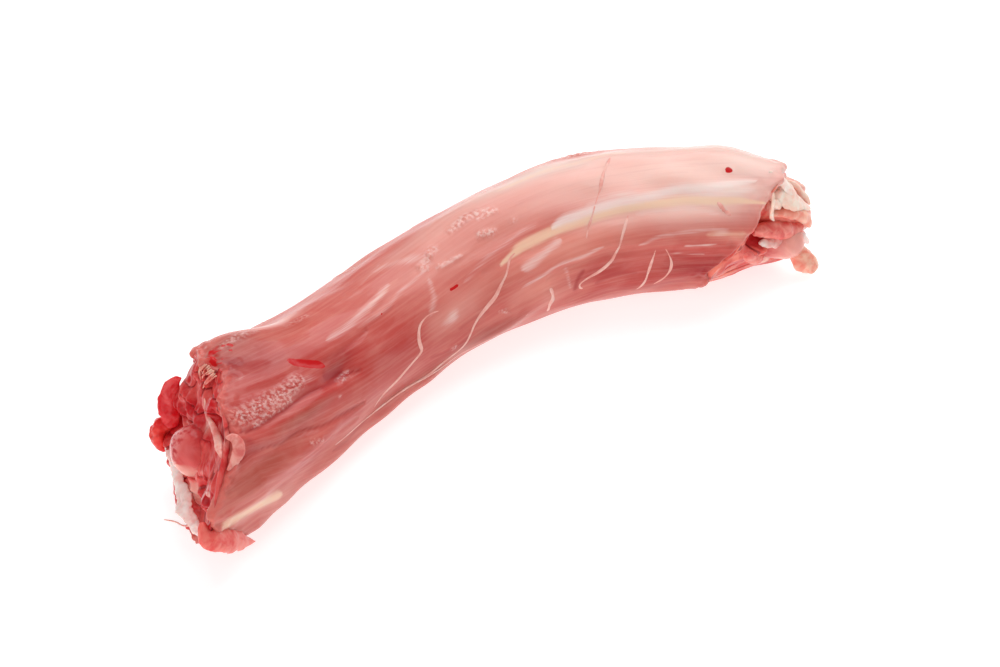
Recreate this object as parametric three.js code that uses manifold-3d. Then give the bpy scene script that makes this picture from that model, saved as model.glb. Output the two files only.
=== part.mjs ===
// A raw chicken neck, skinned and cut through at both ends, lying on a flat surface.
// The meat is one solid round a column of vertebrae. It is thick at the base, where it was cut from
// the body, slim in the middle and bent sideways towards the head end. Its underside has settled flat.
//
// Millimetres, +Z up, the surface under the neck at z = 0. X runs from the base to the head end and
// -Y is the inside of the bend. A point of the meat is given by t, the share of the neck's length
// from the base, by an angle round the neck, 0 on top and 90 degrees on the inside of the bend,
// and by its offset from the centreline, to the inside of the bend and up.
import * as THREE from "three";
import { mergeVertices } from "three/addons/utils/BufferGeometryUtils.js";
import Module from "manifold-3d";

const wasm = await Module();
wasm.setup();

// ---- Driving dimensions ----
const NECK_LENGTH = 138.8; // along the centreline
const BASE_RADIUS = 17.3; // thickest, at the base cut
const WAIST_RADIUS = 13.1;
const HEAD_RADIUS = 14.9;
const FLARE_FROM = -0.02; // shares of the length between which the base's flare runs out
const FLARE_TO = 0.34;
const FLARE_POWER = 1.96;
const HEAD_SWELL = [0.345, 0.776]; // shares of the length between which the neck thickens again
const WIDTH_SHARE = 0.99; // half width and half height of the section, in radii
const HEIGHT_SHARE = 0.96;
const SETTLED_SHARE = 0.94; // height of the centreline above the surface, in half heights

const BASE_HEADING = 18.5; // degrees from +X, where the centreline leaves the base
const BEND = -56.9; // degrees it has turned by the end of the bend
const BEND_RANGE = [0.302, 1.099]; // shares of the length, so that the bend goes on past the cut
const BASE_POINT = [-67.2, -7.6]; // x and y of the centreline's start

// Each cut is a slanting plane: its share of the length, and how far it leans, in millimetres at the
// surface, towards the head on the inside of the bend and on top. Its edge is rounded, and pulled back
// at some angles round the neck, with a half width in degrees, or drawn out where "back" is below zero.
const BASE_CUT = {
  at: -0.01,
  inside: -14,
  top: 7,
  edge: 2.2,
  outward: -1,
  pulls: [
    { angle: 135, half: 45, back: 9 },
    { angle: -175, half: 45, back: 4 },
    { angle: -30, half: 35, back: -2.5 },
  ],
};
const HEAD_CUT = {
  at: 0.97,
  inside: -4,
  top: 9,
  edge: 2.4,
  outward: 1,
  pulls: [{ angle: -45, half: 60, back: 4 }],
};
const RAGGED = 0.5; // how far the edge of a cut wanders

const SPINE_RADIUS = 4;
const SPINE_GAP = 0.3; // all round, between the bone and the meat
// At the head end the spine leaves the middle, between two shares of the length.
const SPINE_DROP = { from: 0.78, to: 0.94, inside: 1, down: 5 };
const MOUTH_DEPTH = 12; // the spine and its hole widen over this length inside a cut
const BASE_MOUTH = 5; // how far inside a cut's middle the hole's first or last ring lies
const HEAD_MOUTH = -4; // outside it, where the deep muscles stand out
// Joint ends of the vertebrae that stand out of the cuts: radius and the middle's distance outside.
const BASE_KNUCKLE = { radius: 4.9, out: -0.3 };
const HEAD_KNUCKLE = { radius: 3.5, out: 9 };

const SECTION_SIDES = 48;
const BODY_RINGS = 64;
const FACE_RINGS = 9;
const BORE_RINGS = 16;
const KNUCKLE_RINGS = 5;

const MUSCLE_FADE = 0.1; // share of the length over which a muscle rises and ends

// Long muscles that stand out of the surface: middle angle and half width in degrees, height in
// millimetres, and the stretch of the neck that each one takes.
const MUSCLES = [
  { angle: -5, half: 34, high: 0.9, from: 0.42, to: 1.05 }, // back of the neck
  { angle: 66, half: 24, high: 0.8, from: 0.45, to: 1.0 }, // inside of the bend
  { angle: 20, half: 20, high: 0.7, from: -0.02, to: 0.42 },
  { angle: 58, half: 11, high: 0.8, from: 0.01, to: 0.2 }, // two bellies that end in the base
  { angle: 83, half: 15, high: 1.5, from: -0.12, to: 0.2 },
  { angle: 118, half: 15, high: 1.1, from: -0.1, to: 0.45 },
  { angle: -62, half: 24, high: 1.1, from: -0.1, to: 0.5 }, // outside of the bend
  { angle: -70, half: 28, high: 0.8, from: 0.4, to: 1.05 },
  { angle: -118, half: 20, high: 0.9, from: -0.1, to: 0.8 },
];

// Dents and swellings: share of the length, angle, half length in millimetres, half width in degrees
// and height, with dents below zero.
const SWELLINGS = [
  { at: 0.19, angle: 48, long: 6, wide: 10, high: -1 }, // hollow where two muscles part
  { at: 0.29, angle: 98, long: 18, wide: 30, high: -1.1 },
  { at: 0.52, angle: 100, long: 24, wide: 34, high: 0.8 },
  { at: 0.11, angle: -22, long: 15, wide: 36, high: 2.6 }, // shoulder above the base cut
  { at: 0.74, angle: -45, long: 22, wide: 40, high: 1.1 },
  { at: 1.04, angle: -45, long: 18, wide: 75, high: -4.2 }, // the back slopes down to the head cut
];

const LUMP_FOOT = 1.5; // a lump ends at this many of its radii

// Lumps and hollows of cut flesh on a face: offsets from the centreline to the inside of the bend and
// up, radius, and how far each stands out, with hollows below zero.
const BASE_LUMPS = [
  { inside: -4, up: 2, radius: 6, out: 1.6 }, // flesh drawn up round the knuckle
  { inside: -10.5, up: -6, radius: 4, out: 4.5 },
  { inside: -9, up: 7, radius: 4, out: 2.4 },
  { inside: 0, up: 12, radius: 4, out: 2 },
  { inside: 5, up: 6.5, radius: 3, out: -1.6 },
  { inside: 10, up: 9, radius: 3.4, out: -1.5 }, // notch above the rounded fold
  { inside: 8.5, up: -3, radius: 3.6, out: -4.5 }, // crevice along the inside
  { inside: 4, up: -9.5, radius: 3, out: -2.5 },
  { inside: -3.5, up: -10.5, radius: 3.6, out: 3.2 }, // pale membrane below the knuckle
];
const HEAD_LUMPS = [
  { inside: -3, up: -4.5, radius: 11, out: 14.5 }, // deep muscles, which stand out of their sleeve
  { inside: 2, up: 5, radius: 3.4, out: 1.6 },
  { inside: 8, up: -3, radius: 3, out: 3.5 },
  { inside: 3.5, up: -9.5, radius: 3, out: 2.6 },
  { inside: -2.5, up: -10.5, radius: 3.8, out: 6 },
  { inside: -8, up: -5, radius: 3.4, out: 2 },
  { inside: -10, up: 1, radius: 4, out: 1.5 },
  { inside: 6, up: 2.5, radius: 2.2, out: -2 },
];

// Tags of flesh and fat that hang on at a cut: where the middle lies on the face, with how far it
// stands out, the half sizes along it, across it and through it, and its turns about X, Y and Z.
const TAGS = [
  { cut: BASE_CUT, inside: -13.3, up: 1.8, out: 4, half: [5.4, 2.8, 1.6], turn: [0, -75, 57] }, // bloody
  { cut: BASE_CUT, inside: -12.5, up: -3.8, out: 3, half: [3.6, 3.2, 2.8], turn: [0, -30, 20] }, // clot
  { cut: BASE_CUT, inside: 8.6, up: -14.4, out: -10.2, half: [6.2, 4.6, 1.5], turn: [0, 0, -33] }, // flap
  { cut: HEAD_CUT, inside: -2.5, up: -11.8, out: 18.8, half: [4.6, 3.2, 2.9], turn: [0, 20, -40] },
  { cut: HEAD_CUT, inside: -4.5, up: 2.2, out: 8.2, half: [3.4, 1.5, 1.4], turn: [0, 50, -50] }, // fat curls
  { cut: HEAD_CUT, inside: 1.8, up: 4, out: 6.5, half: [3.2, 1.4, 1.3], turn: [0, 70, -33] },
];
const TAG_SIDES = 14;
const TAG_PINCH = 0.3; // share by which one end of a tag is narrower, and the other wider
const TAG_BEND = 0.35; // how far its ends lift, in half thicknesses

// ---- Small sums ----
const radians = THREE.MathUtils.degToRad;

// 0 below 0, 1 above 1, and an even S between.
function ease(x) {
  return THREE.MathUtils.smoothstep(x, 0, 1);
}

// 1 in the middle of a hump and 0 from a distance of 1 outwards.
function hump(distance) {
  return 1 - ease(Math.abs(distance));
}

// The smallest turn from one angle to another, in degrees, from -180 to 180.
function turnBetween(a, b) {
  return ((((b - a) % 360) + 540) % 360) - 180;
}

// ---- The centreline ----
function heading(t) {
  const [from, to] = BEND_RANGE;
  return radians(BASE_HEADING + BEND * ease((t - from) / (to - from)));
}

// A point of the centreline in plan: the heading summed in short steps from the base point.
function centreline(t) {
  const steps = 60;
  const step = t / steps;
  let [x, y] = BASE_POINT;
  for (let i = 0; i < steps; i += 1) {
    const direction = heading((i + 0.5) * step);
    x += Math.cos(direction) * step * NECK_LENGTH;
    y += Math.sin(direction) * step * NECK_LENGTH;
  }
  return [x, y];
}

// The point at t that lies off the centreline by so many millimetres to the inside of the bend and up.
// What would go through the surface below is pressed flat on it.
function pointAt(t, { inside, up }) {
  const [x, y] = centreline(t);
  const direction = heading(t);
  const middle = plainRadius(t) * HEIGHT_SHARE * SETTLED_SHARE;
  return new THREE.Vector3(
    x + Math.sin(direction) * inside,
    y - Math.cos(direction) * inside,
    Math.max(0, middle + up),
  );
}

// ---- The section ----
function plainRadius(t) {
  const left = Math.max(0, 1 - Math.max(t, FLARE_FROM) / FLARE_TO);
  const flare = (BASE_RADIUS - WAIST_RADIUS) * left ** FLARE_POWER;
  const [from, to] = HEAD_SWELL;
  return WAIST_RADIUS + flare + (HEAD_RADIUS - WAIST_RADIUS) * ease((t - from) / (to - from));
}

// How far the muscles and swellings lift the surface, in millimetres.
function relief(t, degrees) {
  let lift = 0;
  for (const { angle, half, high, from, to } of MUSCLES) {
    const across = turnBetween(angle, degrees) / half;
    const along = ease((t - from) / MUSCLE_FADE) * ease((to - t) / MUSCLE_FADE);
    lift += high * along * hump(across);
  }
  for (const { at, angle, long, wide, high } of SWELLINGS) {
    const along = ((t - at) * NECK_LENGTH) / long;
    const across = turnBetween(angle, degrees) / wide;
    lift += high * hump(Math.hypot(along, across));
  }
  return lift;
}

// The offset of the meat's surface from the centreline.
function surfaceOffset(t, degrees) {
  const angle = radians(degrees);
  const radius = plainRadius(t) + relief(t, degrees);
  return { inside: radius * WIDTH_SHARE * Math.sin(angle), up: radius * HEIGHT_SHARE * Math.cos(angle) };
}

// The offset of a point of a round section of the spine, or of the hole that it lies in.
function spineOffset(t, degrees, radius) {
  const angle = radians(degrees);
  const share = ease((t - SPINE_DROP.from) / (SPINE_DROP.to - SPINE_DROP.from));
  return {
    inside: share * SPINE_DROP.inside + radius * Math.sin(angle),
    up: -share * SPINE_DROP.down + radius * Math.cos(angle),
  };
}

// The spine's radius inside the meat, which grows to the knuckles' at the cuts.
function spineRadius(t) {
  const atBase = 1 - ease(((t - BASE_CUT.at) * NECK_LENGTH) / MOUTH_DEPTH);
  const atHead = 1 - ease(((HEAD_CUT.at - t) * NECK_LENGTH) / MOUTH_DEPTH);
  return (
    SPINE_RADIUS +
    (BASE_KNUCKLE.radius - SPINE_RADIUS) * atBase +
    (HEAD_KNUCKLE.radius - SPINE_RADIUS) * atHead
  );
}

// ---- The cuts ----
// Where a cut's plane lies at an offset from the centreline.
function cutAt(cut, { inside, up }) {
  return cut.at + (cut.inside * inside + cut.top * up) / (plainRadius(cut.at) * NECK_LENGTH);
}

// Where a cut meets the surface at an angle: on the plane, but for three waves and the pulls.
function edgeAt(cut, degrees) {
  const angle = radians(degrees);
  const wave = Math.sin(3 * angle + 1) + 0.7 * Math.sin(7 * angle + 2) + 0.5 * Math.sin(11 * angle);
  let back = RAGGED * wave;
  for (const pull of cut.pulls) {
    back += pull.back * hump(turnBetween(pull.angle, degrees) / pull.half);
  }
  return cutAt(cut, surfaceOffset(cut.at, degrees)) - (cut.outward * back) / NECK_LENGTH;
}

// How far the lumps stand out of a face at an offset, in millimetres.
function lumpiness(lumps, { inside, up }) {
  let total = 0;
  for (const lump of lumps) {
    total += lump.out * hump(Math.hypot(inside - lump.inside, up - lump.up) / (LUMP_FOOT * lump.radius));
  }
  return total;
}

// ---- Rings of points ----
const SIDES = Array.from({ length: SECTION_SIDES }, (_, j) => (360 * j) / SECTION_SIDES);

// Rings of one cut face, from the spine's hole out to the rounded edge.
function faceRings(cut, lumps) {
  return Array.from({ length: FACE_RINGS }, (_, i) => {
    const share = i / FACE_RINGS;
    return SIDES.map((degrees) => {
      const edge = edgeAt(cut, degrees);
      const hole = spineOffset(cut.at, degrees, spineRadius(cut.at) + SPINE_GAP);
      const rim = surfaceOffset(edge, degrees);
      const offset = {
        inside: hole.inside + (rim.inside - hole.inside) * share,
        up: hole.up + (rim.up - hole.up) * share,
      };
      const toRim = Math.hypot(rim.inside - offset.inside, rim.up - offset.up);
      const corner = Math.max(0, 1 - toRim / cut.edge);
      const rounding = cut.edge * (1 - Math.sqrt(1 - corner * corner));
      const raise = lumpiness(lumps, offset) * (1 - corner) - rounding;
      const wander = share * (edge - cutAt(cut, rim));
      return pointAt(cutAt(cut, offset) + wander + (cut.outward * raise) / NECK_LENGTH, offset);
    });
  });
}

// Rings of the side, between the rounded edges of the two cuts.
function bodyRings() {
  return Array.from({ length: BODY_RINGS }, (_, i) =>
    SIDES.map((degrees) => {
      const from = edgeAt(BASE_CUT, degrees) + BASE_CUT.edge / NECK_LENGTH;
      const to = edgeAt(HEAD_CUT, degrees) - HEAD_CUT.edge / NECK_LENGTH;
      const t = from + ((to - from) * i) / (BODY_RINGS - 1);
      return pointAt(t, surfaceOffset(t, degrees));
    }),
  );
}

// Where the spine's rings lie inside the meat. The hole repeats them.
const FIRST_STATION = BASE_CUT.at + BASE_MOUTH / NECK_LENGTH;
const LAST_STATION = HEAD_CUT.at - HEAD_MOUTH / NECK_LENGTH;
const STATIONS = Array.from(
  { length: BORE_RINGS },
  (_, i) => FIRST_STATION + ((LAST_STATION - FIRST_STATION) * i) / (BORE_RINGS - 1),
);

function spineRing(t, radius, angles) {
  return angles.map((degrees) => pointAt(t, spineOffset(t, degrees, radius)));
}

// The rings of a knuckle, a ball that ends the spine outside a cut, from its widest ring to its tip.
function knuckleRings(cut, { radius, out }, angles) {
  return Array.from({ length: KNUCKLE_RINGS }, (_, i) => {
    const lift = radians((90 * i) / KNUCKLE_RINGS);
    const t = cut.at + (cut.outward * (out + radius * Math.sin(lift))) / NECK_LENGTH;
    return spineRing(t, radius * Math.cos(lift), angles);
  });
}

// ---- Pieces ----
// A solid from rings of points, each joined to the next. The last is joined to the first, which makes a
// tube with a hole along it, or both end rings are closed on their middles.
function ringSolid(rings, tube) {
  const sides = rings[0].length;
  const points = rings.flat();
  const faces = [];
  const spans = tube ? rings.length : rings.length - 1;
  for (let i = 0; i < spans; i += 1) {
    const next = (i + 1) % rings.length;
    for (let j = 0; j < sides; j += 1) {
      const side = (j + 1) % sides;
      const [a, b, c, d] = [i * sides + j, i * sides + side, next * sides + j, next * sides + side];
      faces.push(a, b, d, a, d, c);
    }
  }
  if (!tube) {
    const lastRing = (rings.length - 1) * sides;
    const middles = [rings[0], rings.at(-1)].map((ring) =>
      ring.reduce((sum, point) => sum.add(point), new THREE.Vector3()).divideScalar(sides),
    );
    for (let j = 0; j < sides; j += 1) {
      const side = (j + 1) % sides;
      faces.push(points.length, side, j);
      faces.push(points.length + 1, lastRing + j, lastRing + side);
    }
    points.push(...middles);
  }
  const geometry = new THREE.BufferGeometry().setFromPoints(points);
  geometry.setIndex(faces);
  return geometry;
}

function asSolid(geometry) {
  const bare = geometry.clone();
  bare.deleteAttribute("normal");
  bare.deleteAttribute("uv");
  const merged = mergeVertices(bare, 1e-4);
  return new wasm.Manifold(
    new wasm.Mesh({
      numProp: 3,
      vertProperties: merged.attributes.position.array,
      triVerts: new Uint32Array(merged.index.array),
    }),
  );
}

function asGeometry(solid) {
  const { vertProperties, triVerts } = solid.getMesh();
  const geometry = new THREE.BufferGeometry();
  geometry.setAttribute("position", new THREE.BufferAttribute(vertProperties, 3));
  geometry.setIndex(new THREE.BufferAttribute(triVerts, 1));
  return geometry;
}

// A tag: a flattened ball, pinched towards one end and bent along its length.
function tagSolid({ cut, inside, up, out, half, turn }) {
  const ball = new THREE.SphereGeometry(1, TAG_SIDES, TAG_SIDES / 2);
  const place = ball.attributes.position;
  const [long, wide, thick] = half;
  for (let i = 0; i < place.count; i += 1) {
    const [x, y, z] = [place.getX(i), place.getY(i), place.getZ(i)];
    place.setXYZ(i, long * x, wide * y * (1 - TAG_PINCH * x * Math.abs(x)), thick * (z + TAG_BEND * x * x));
  }
  ball.rotateX(radians(turn[0]));
  ball.rotateY(radians(turn[1]));
  ball.rotateZ(radians(turn[2]));
  const root = pointAt(cutAt(cut, { inside, up }) + (cut.outward * out) / NECK_LENGTH, { inside, up });
  ball.translate(root.x, root.y, root.z);
  for (let i = 0; i < place.count; i += 1) {
    place.setZ(i, Math.max(0, place.getZ(i)));
  }
  return asSolid(ball);
}

function meatGeometry() {
  const base = faceRings(BASE_CUT, BASE_LUMPS);
  const head = faceRings(HEAD_CUT, HEAD_LUMPS).reverse();
  const hole = STATIONS.map((t) => spineRing(t, spineRadius(t) + SPINE_GAP, SIDES)).reverse();
  let solid = asSolid(ringSolid([...base, ...bodyRings(), ...head, ...hole], true));
  for (const tag of TAGS) {
    solid = solid.add(tagSolid(tag));
  }
  return asGeometry(solid);
}

function spineGeometry() {
  const angles = SIDES.filter((_, j) => j % 3 === 0);
  const inner = STATIONS.map((t) => spineRing(t, spineRadius(t), angles));
  const base = knuckleRings(BASE_CUT, BASE_KNUCKLE, angles).reverse();
  const head = knuckleRings(HEAD_CUT, HEAD_KNUCKLE, angles);
  return ringSolid([...base, ...inner, ...head], false);
}

function mesh(name, geometry, color, roughness) {
  const piece = new THREE.Mesh(geometry, new THREE.MeshStandardMaterial({ color, roughness, metalness: 0 }));
  piece.name = name;
  return piece;
}

const neck = new THREE.Group();
neck.add(mesh("neck_meat", meatGeometry(), 0xd98880, 0.35));
neck.add(mesh("neck_spine", spineGeometry(), 0xd9a6a0, 0.3));

export default neck;
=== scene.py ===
"""A raw chicken neck, skinned and cut through at both ends, lying on a white surface.

A place on the neck is given by t, the share of its length from the base cut, by an angle round it, 0 on top
and 90 degrees on the inside of its bend, and by an offset from the centreline, inside the bend and up.
Sizes of the neck are in millimetres, and a mesh turns them into metres.
"""

import math

import bpy
import numpy as np
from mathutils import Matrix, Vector


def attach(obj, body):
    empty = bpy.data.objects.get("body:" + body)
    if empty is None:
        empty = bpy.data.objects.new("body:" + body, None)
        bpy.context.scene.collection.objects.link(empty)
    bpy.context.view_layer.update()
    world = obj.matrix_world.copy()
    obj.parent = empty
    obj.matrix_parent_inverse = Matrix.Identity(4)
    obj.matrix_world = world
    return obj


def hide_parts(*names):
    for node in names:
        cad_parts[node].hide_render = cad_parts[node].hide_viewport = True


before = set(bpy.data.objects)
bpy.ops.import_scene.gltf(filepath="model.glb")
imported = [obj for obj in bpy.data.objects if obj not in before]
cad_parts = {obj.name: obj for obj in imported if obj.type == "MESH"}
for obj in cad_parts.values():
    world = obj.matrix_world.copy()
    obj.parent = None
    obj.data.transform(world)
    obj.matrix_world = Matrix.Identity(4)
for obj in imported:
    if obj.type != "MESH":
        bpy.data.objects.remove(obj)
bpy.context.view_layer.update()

# ---- Camera ----
# It looks down on the side of the neck that is the inside of the bend, from about half a metre off.
VIEW_HEADING = math.radians(56.98)  # in plan, from +X
VIEW_DOWN = math.radians(38)
VIEW_DISTANCE = 0.5556
VIEW_TARGET = Vector((0.00758, 0.00781, 0))
VIEW_LENS = 100

view_level = Vector((math.cos(VIEW_HEADING), math.sin(VIEW_HEADING), 0))
view_direction = view_level * math.cos(VIEW_DOWN) - Vector((0, 0, math.sin(VIEW_DOWN)))
camera_data = bpy.data.cameras.new("camera")
camera_data.lens = VIEW_LENS
camera = bpy.data.objects.new("camera", camera_data)
camera.location = VIEW_TARGET - VIEW_DISTANCE * view_direction
camera.rotation_euler = view_direction.to_track_quat("-Z", "Y").to_euler()
bpy.context.scene.collection.objects.link(camera)
bpy.context.scene.camera = camera

# ---- The sleeve of long neck muscles ----
# Long muscles in a thin wet membrane, with thin pale fascia and yellow fat between them. The knife cut
# them through at both ends, where the meat has drawn back and its edge has rolled over.
NECK_LENGTH = 138.8
BASE_RADIUS = 17.3
WAIST_RADIUS = 13.1
HEAD_RADIUS = 14.9
FLARE_FROM, FLARE_TO, FLARE_POWER = -0.02, 0.34, 1.96  # where the base's flare runs out
HEAD_SWELL = (0.345, 0.776)  # where the neck thickens again
WIDTH_SHARE, HEIGHT_SHARE = 0.99, 0.96  # half width and half height of the section, in radii
SETTLED_SHARE = 0.94  # height of the centreline above the surface, in half heights
BASE_HEADING, BEND = 18.5, -56.9  # degrees
BEND_RANGE = (0.302, 1.099)
BASE_POINT = (-67.2, -7.6)
# Each cut: its t, the slant of its plane inside and up, the way out, where it is pulled back and its lip
# drawn back, each as an angle, half width and distance, and how torn the lip is.
BASE_CUT = {
    "at": -0.01, "inside": -14, "top": 7, "outward": -1,
    "pulls": [(135, 45, 9), (-175, 45, 4), (-30, 35, -2.5)],
    "drawn": [(54, 24, 3.6), (100, 40, 1.2), (-12, 20, -2.0)], "torn": 0.35,
}
HEAD_CUT = {
    "at": 0.97, "inside": -4, "top": 9, "outward": 1,
    "pulls": [(-45, 60, 4)],
    "drawn": [(100, 30, 2.0)], "torn": 0.15,
}
RAGGED = 0.5
RUMPLE_WAVES = 28
WALK_FROM, WALK_TO, WALK_STEPS = -0.5, 1.5, 4000  # how the centreline is followed, past both cuts
MUSCLE_FADE = 0.1
# Middle angle, half width, height and stretch of each muscle that stands out.
MUSCLES = [
    (-5, 34, 0.9, 0.42, 1.05),
    (66, 24, 0.8, 0.45, 1.0),
    (20, 20, 0.7, -0.02, 0.42),
    (58, 11, 0.8, 0.01, 0.2),
    (83, 15, 1.5, -0.12, 0.2),
    (118, 15, 1.1, -0.1, 0.45),
    (-62, 24, 1.1, -0.1, 0.5),
    (-70, 28, 0.8, 0.4, 1.05),
    (-118, 20, 0.9, -0.1, 0.8),
]
# Share of the length, angle, half length, half width in degrees and height of dents and swellings.
SWELLINGS = [
    (0.19, 48, 6, 10, -1),
    (0.29, 98, 18, 30, -1.1),
    (0.52, 100, 24, 34, 0.8),
    (0.11, -22, 15, 36, 2.6),
    (0.74, -45, 22, 40, 1.1),
    (1.04, -45, 18, 75, -4.2),
]
SLEEVE_SIDES = 212
SLEEVE_ROWS = 410
LIP_ROWS = 16
LIP_EDGE = 0.9
LIP_TURN = math.radians(150)  # how far the cut edge rolls over
DISH_ROWS = 6
DISH_DEPTH = 9.0  # the sleeve's hollow ends lie this far behind the cuts, under the cut flesh
RIM_REACH = 2.5  # the cut edges are tinted this far along the side


def ease(x):
    """0 below 0, 1 above 1, and between them x squared times three less two x."""
    x = np.clip(x, 0, 1)
    return x * x * (3 - 2 * x)


def hump(distance):
    """1 in the middle and 0 from a distance of 1 outwards."""
    return 1 - ease(np.abs(distance))


def turn_between(start, end):
    """The smallest turn between two angles in degrees, from -180 to 180."""
    return (end - start + 180) % 360 - 180


def heading(t):
    """The centreline's heading at t: the base's, then eased through the bend."""
    return np.radians(BASE_HEADING + BEND * ease((t - BEND_RANGE[0]) / (BEND_RANGE[1] - BEND_RANGE[0])))


# The centreline: small steps in its heading, summed, and moved so that t is 0 at the base point.
walk = np.linspace(WALK_FROM, WALK_TO, WALK_STEPS + 1)
walk_heading = heading((walk[1:] + walk[:-1]) / 2)
walk_ways = np.stack([np.cos(walk_heading), np.sin(walk_heading)], -1)
walk_xy = np.zeros((len(walk), 2))
walk_xy[1:] = np.cumsum(walk_ways, 0) * (walk[1] - walk[0]) * NECK_LENGTH
walk_xy += np.array(BASE_POINT) - walk_xy[np.abs(walk).argmin()]


def plain_radius(t):
    """The waist's radius, with a flare to the base as a power curve and an eased swell to the head."""
    left = np.maximum(0, 1 - np.maximum(t, FLARE_FROM) / FLARE_TO)
    flare = (BASE_RADIUS - WAIST_RADIUS) * left**FLARE_POWER
    swell = ease((t - HEAD_SWELL[0]) / (HEAD_SWELL[1] - HEAD_SWELL[0]))
    return WAIST_RADIUS + flare + (HEAD_RADIUS - WAIST_RADIUS) * swell


def relief(t, angle):
    """The height of the muscles, and of the dents and swellings, each a hump across and along."""
    lift = np.zeros(np.broadcast(t, angle).shape)
    for middle, half, high, start, end in MUSCLES:
        along = ease((t - start) / MUSCLE_FADE) * ease((end - t) / MUSCLE_FADE)
        lift += high * along * hump(turn_between(middle, angle) / half)
    for at, middle, long, wide, high in SWELLINGS:
        lift += high * hump(np.hypot((t - at) * NECK_LENGTH / long, turn_between(middle, angle) / wide))
    return lift


def surface_offset(t, angle, lift=0.0):
    """The surface's offset inside the bend and up: the radius with its relief, turned by the angle."""
    radius = plain_radius(t) + relief(t, angle) + lift
    turn = np.radians(angle)
    return radius * WIDTH_SHARE * np.sin(turn), radius * HEIGHT_SHARE * np.cos(turn)


def point_at(t, inside, up):
    """The point at an offset from the centreline at t, pressed flat where it would go below z = 0."""
    x = np.interp(t, walk, walk_xy[:, 0])
    y = np.interp(t, walk, walk_xy[:, 1])
    middle = plain_radius(t) * HEIGHT_SHARE * SETTLED_SHARE
    turn = heading(t)
    z = np.maximum(0, middle + up)
    return np.stack(np.broadcast_arrays(x + np.sin(turn) * inside, y - np.cos(turn) * inside, z), -1)


def cut_at(cut, inside, up):
    """Where a cut's slanting plane lies at an offset from the centreline."""
    return cut["at"] + (cut["inside"] * inside + cut["top"] * up) / (plain_radius(cut["at"]) * NECK_LENGTH)


def edge_at(cut, angle):
    """Where a cut meets the surface: on its plane, but for three waves and the pulls."""
    turn = np.radians(angle)
    back = RAGGED * (np.sin(3 * turn + 1) + 0.7 * np.sin(7 * turn + 2) + 0.5 * np.sin(11 * turn))
    for middle, half, pull in cut["pulls"]:
        back = back + pull * hump(turn_between(middle, angle) / half)
    return cut_at(cut, *surface_offset(cut["at"], angle)) - cut["outward"] * back / NECK_LENGTH


def rumple(points, size, seed):
    """Uneven lumps from about -2 to 2: sine waves of about that size in random directions, summed."""
    draw = np.random.default_rng(seed)
    direction = draw.normal(size=(RUMPLE_WAVES, points.shape[-1]))
    direction /= np.linalg.norm(direction, axis=1, keepdims=True)
    pitch = 2 * np.pi / (size * draw.uniform(0.7, 1.5, RUMPLE_WAVES))
    phase = draw.uniform(0, 2 * np.pi, RUMPLE_WAVES)
    return np.sin(points @ (direction * pitch[:, None]).T + phase).sum(-1) / np.sqrt(RUMPLE_WAVES / 2)


def closed_mesh(name, skins):
    """A mesh of closed skins. A skin is rings of points, rows x sides x 3 in millimetres, with its values.
    Quads join each ring to the next, and a fan closes each end ring on its middle."""
    corners, faces, layers, first = [], [], {}, 0
    for points, values in skins:
        rows, sides = points.shape[:2]
        j = np.arange(sides)
        k = (j + 1) % sides
        i = np.arange(rows - 1)[:, None] * sides
        quads = np.stack([i + j, i + k, i + sides + k, i + sides + j], -1).reshape(-1, 4)
        last = (rows - 1) * sides
        poles = rows * sides + np.zeros(sides, int)
        fans = np.concatenate([np.stack([poles, k, j], -1), np.stack([poles + 1, last + j, last + k], -1)])
        ends = points[[0, -1]].mean(1)
        place = np.concatenate([points.reshape(-1, 3), ends])
        thirds = np.concatenate([quads[:, :3], quads[:, [0, 2, 3]], fans])
        a, b, c = (place[thirds[:, n]] - place.mean(0) for n in (0, 1, 2))
        if (a * np.cross(b, c)).sum() < 0:  # six times the volume: below zero, the faces point inwards
            quads, fans = quads[:, ::-1], fans[:, ::-1]
        corners.append(place)
        faces += (quads + first).tolist() + (fans + first).tolist()
        for key, value in values.items():
            value = np.broadcast_to(value, points.shape[:2] + np.shape(value)[2:])
            tail = value[[0, -1]].mean(1)
            flat = value.reshape(rows * sides, *value.shape[2:])
            layers.setdefault(key, []).append(np.concatenate([flat, tail]))
        first += len(place)
    mesh = bpy.data.meshes.new(name)
    mesh.from_pydata((np.concatenate(corners) / 1000).tolist(), [], faces)
    for key, parts in layers.items():
        value = np.concatenate(parts).astype(np.float32)
        if value.ndim == 2:
            mesh.attributes.new(key, "FLOAT_VECTOR", "POINT").data.foreach_set("vector", value.ravel())
        else:
            mesh.attributes.new(key, "FLOAT", "POINT").data.foreach_set("value", value)
    mesh.shade_smooth()
    return mesh


# The sleeve's rings: a hollow end, the rolled lip of the base cut, the side, and the same at the head.
sleeve_angle = np.linspace(-180, 180, SLEEVE_SIDES, endpoint=False)


def lip(cut, seed):
    """t and depth of the rings that roll a cut's edge over, as an arc from the side in under the cut."""
    around = np.radians(sleeve_angle)
    round_edge = np.stack([np.cos(around), np.sin(around)], -1) * BASE_RADIUS
    tatters = cut["torn"] * (rumple(round_edge, 4, seed) + 0.45 * rumple(round_edge, 1.6, seed + 1))
    for middle, half, back in cut["drawn"]:
        tatters = tatters - back * hump(turn_between(middle, sleeve_angle) / half)
    turn = np.linspace(0, LIP_TURN, LIP_ROWS)[:, None]
    edge = LIP_EDGE * (1 + 0.25 * rumple(round_edge, 6, seed + 2))
    t = edge_at(cut, sleeve_angle) + cut["outward"] * (tatters + edge * (np.sin(turn) - 1)) / NECK_LENGTH
    return t, edge * (1 - np.cos(turn))


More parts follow.
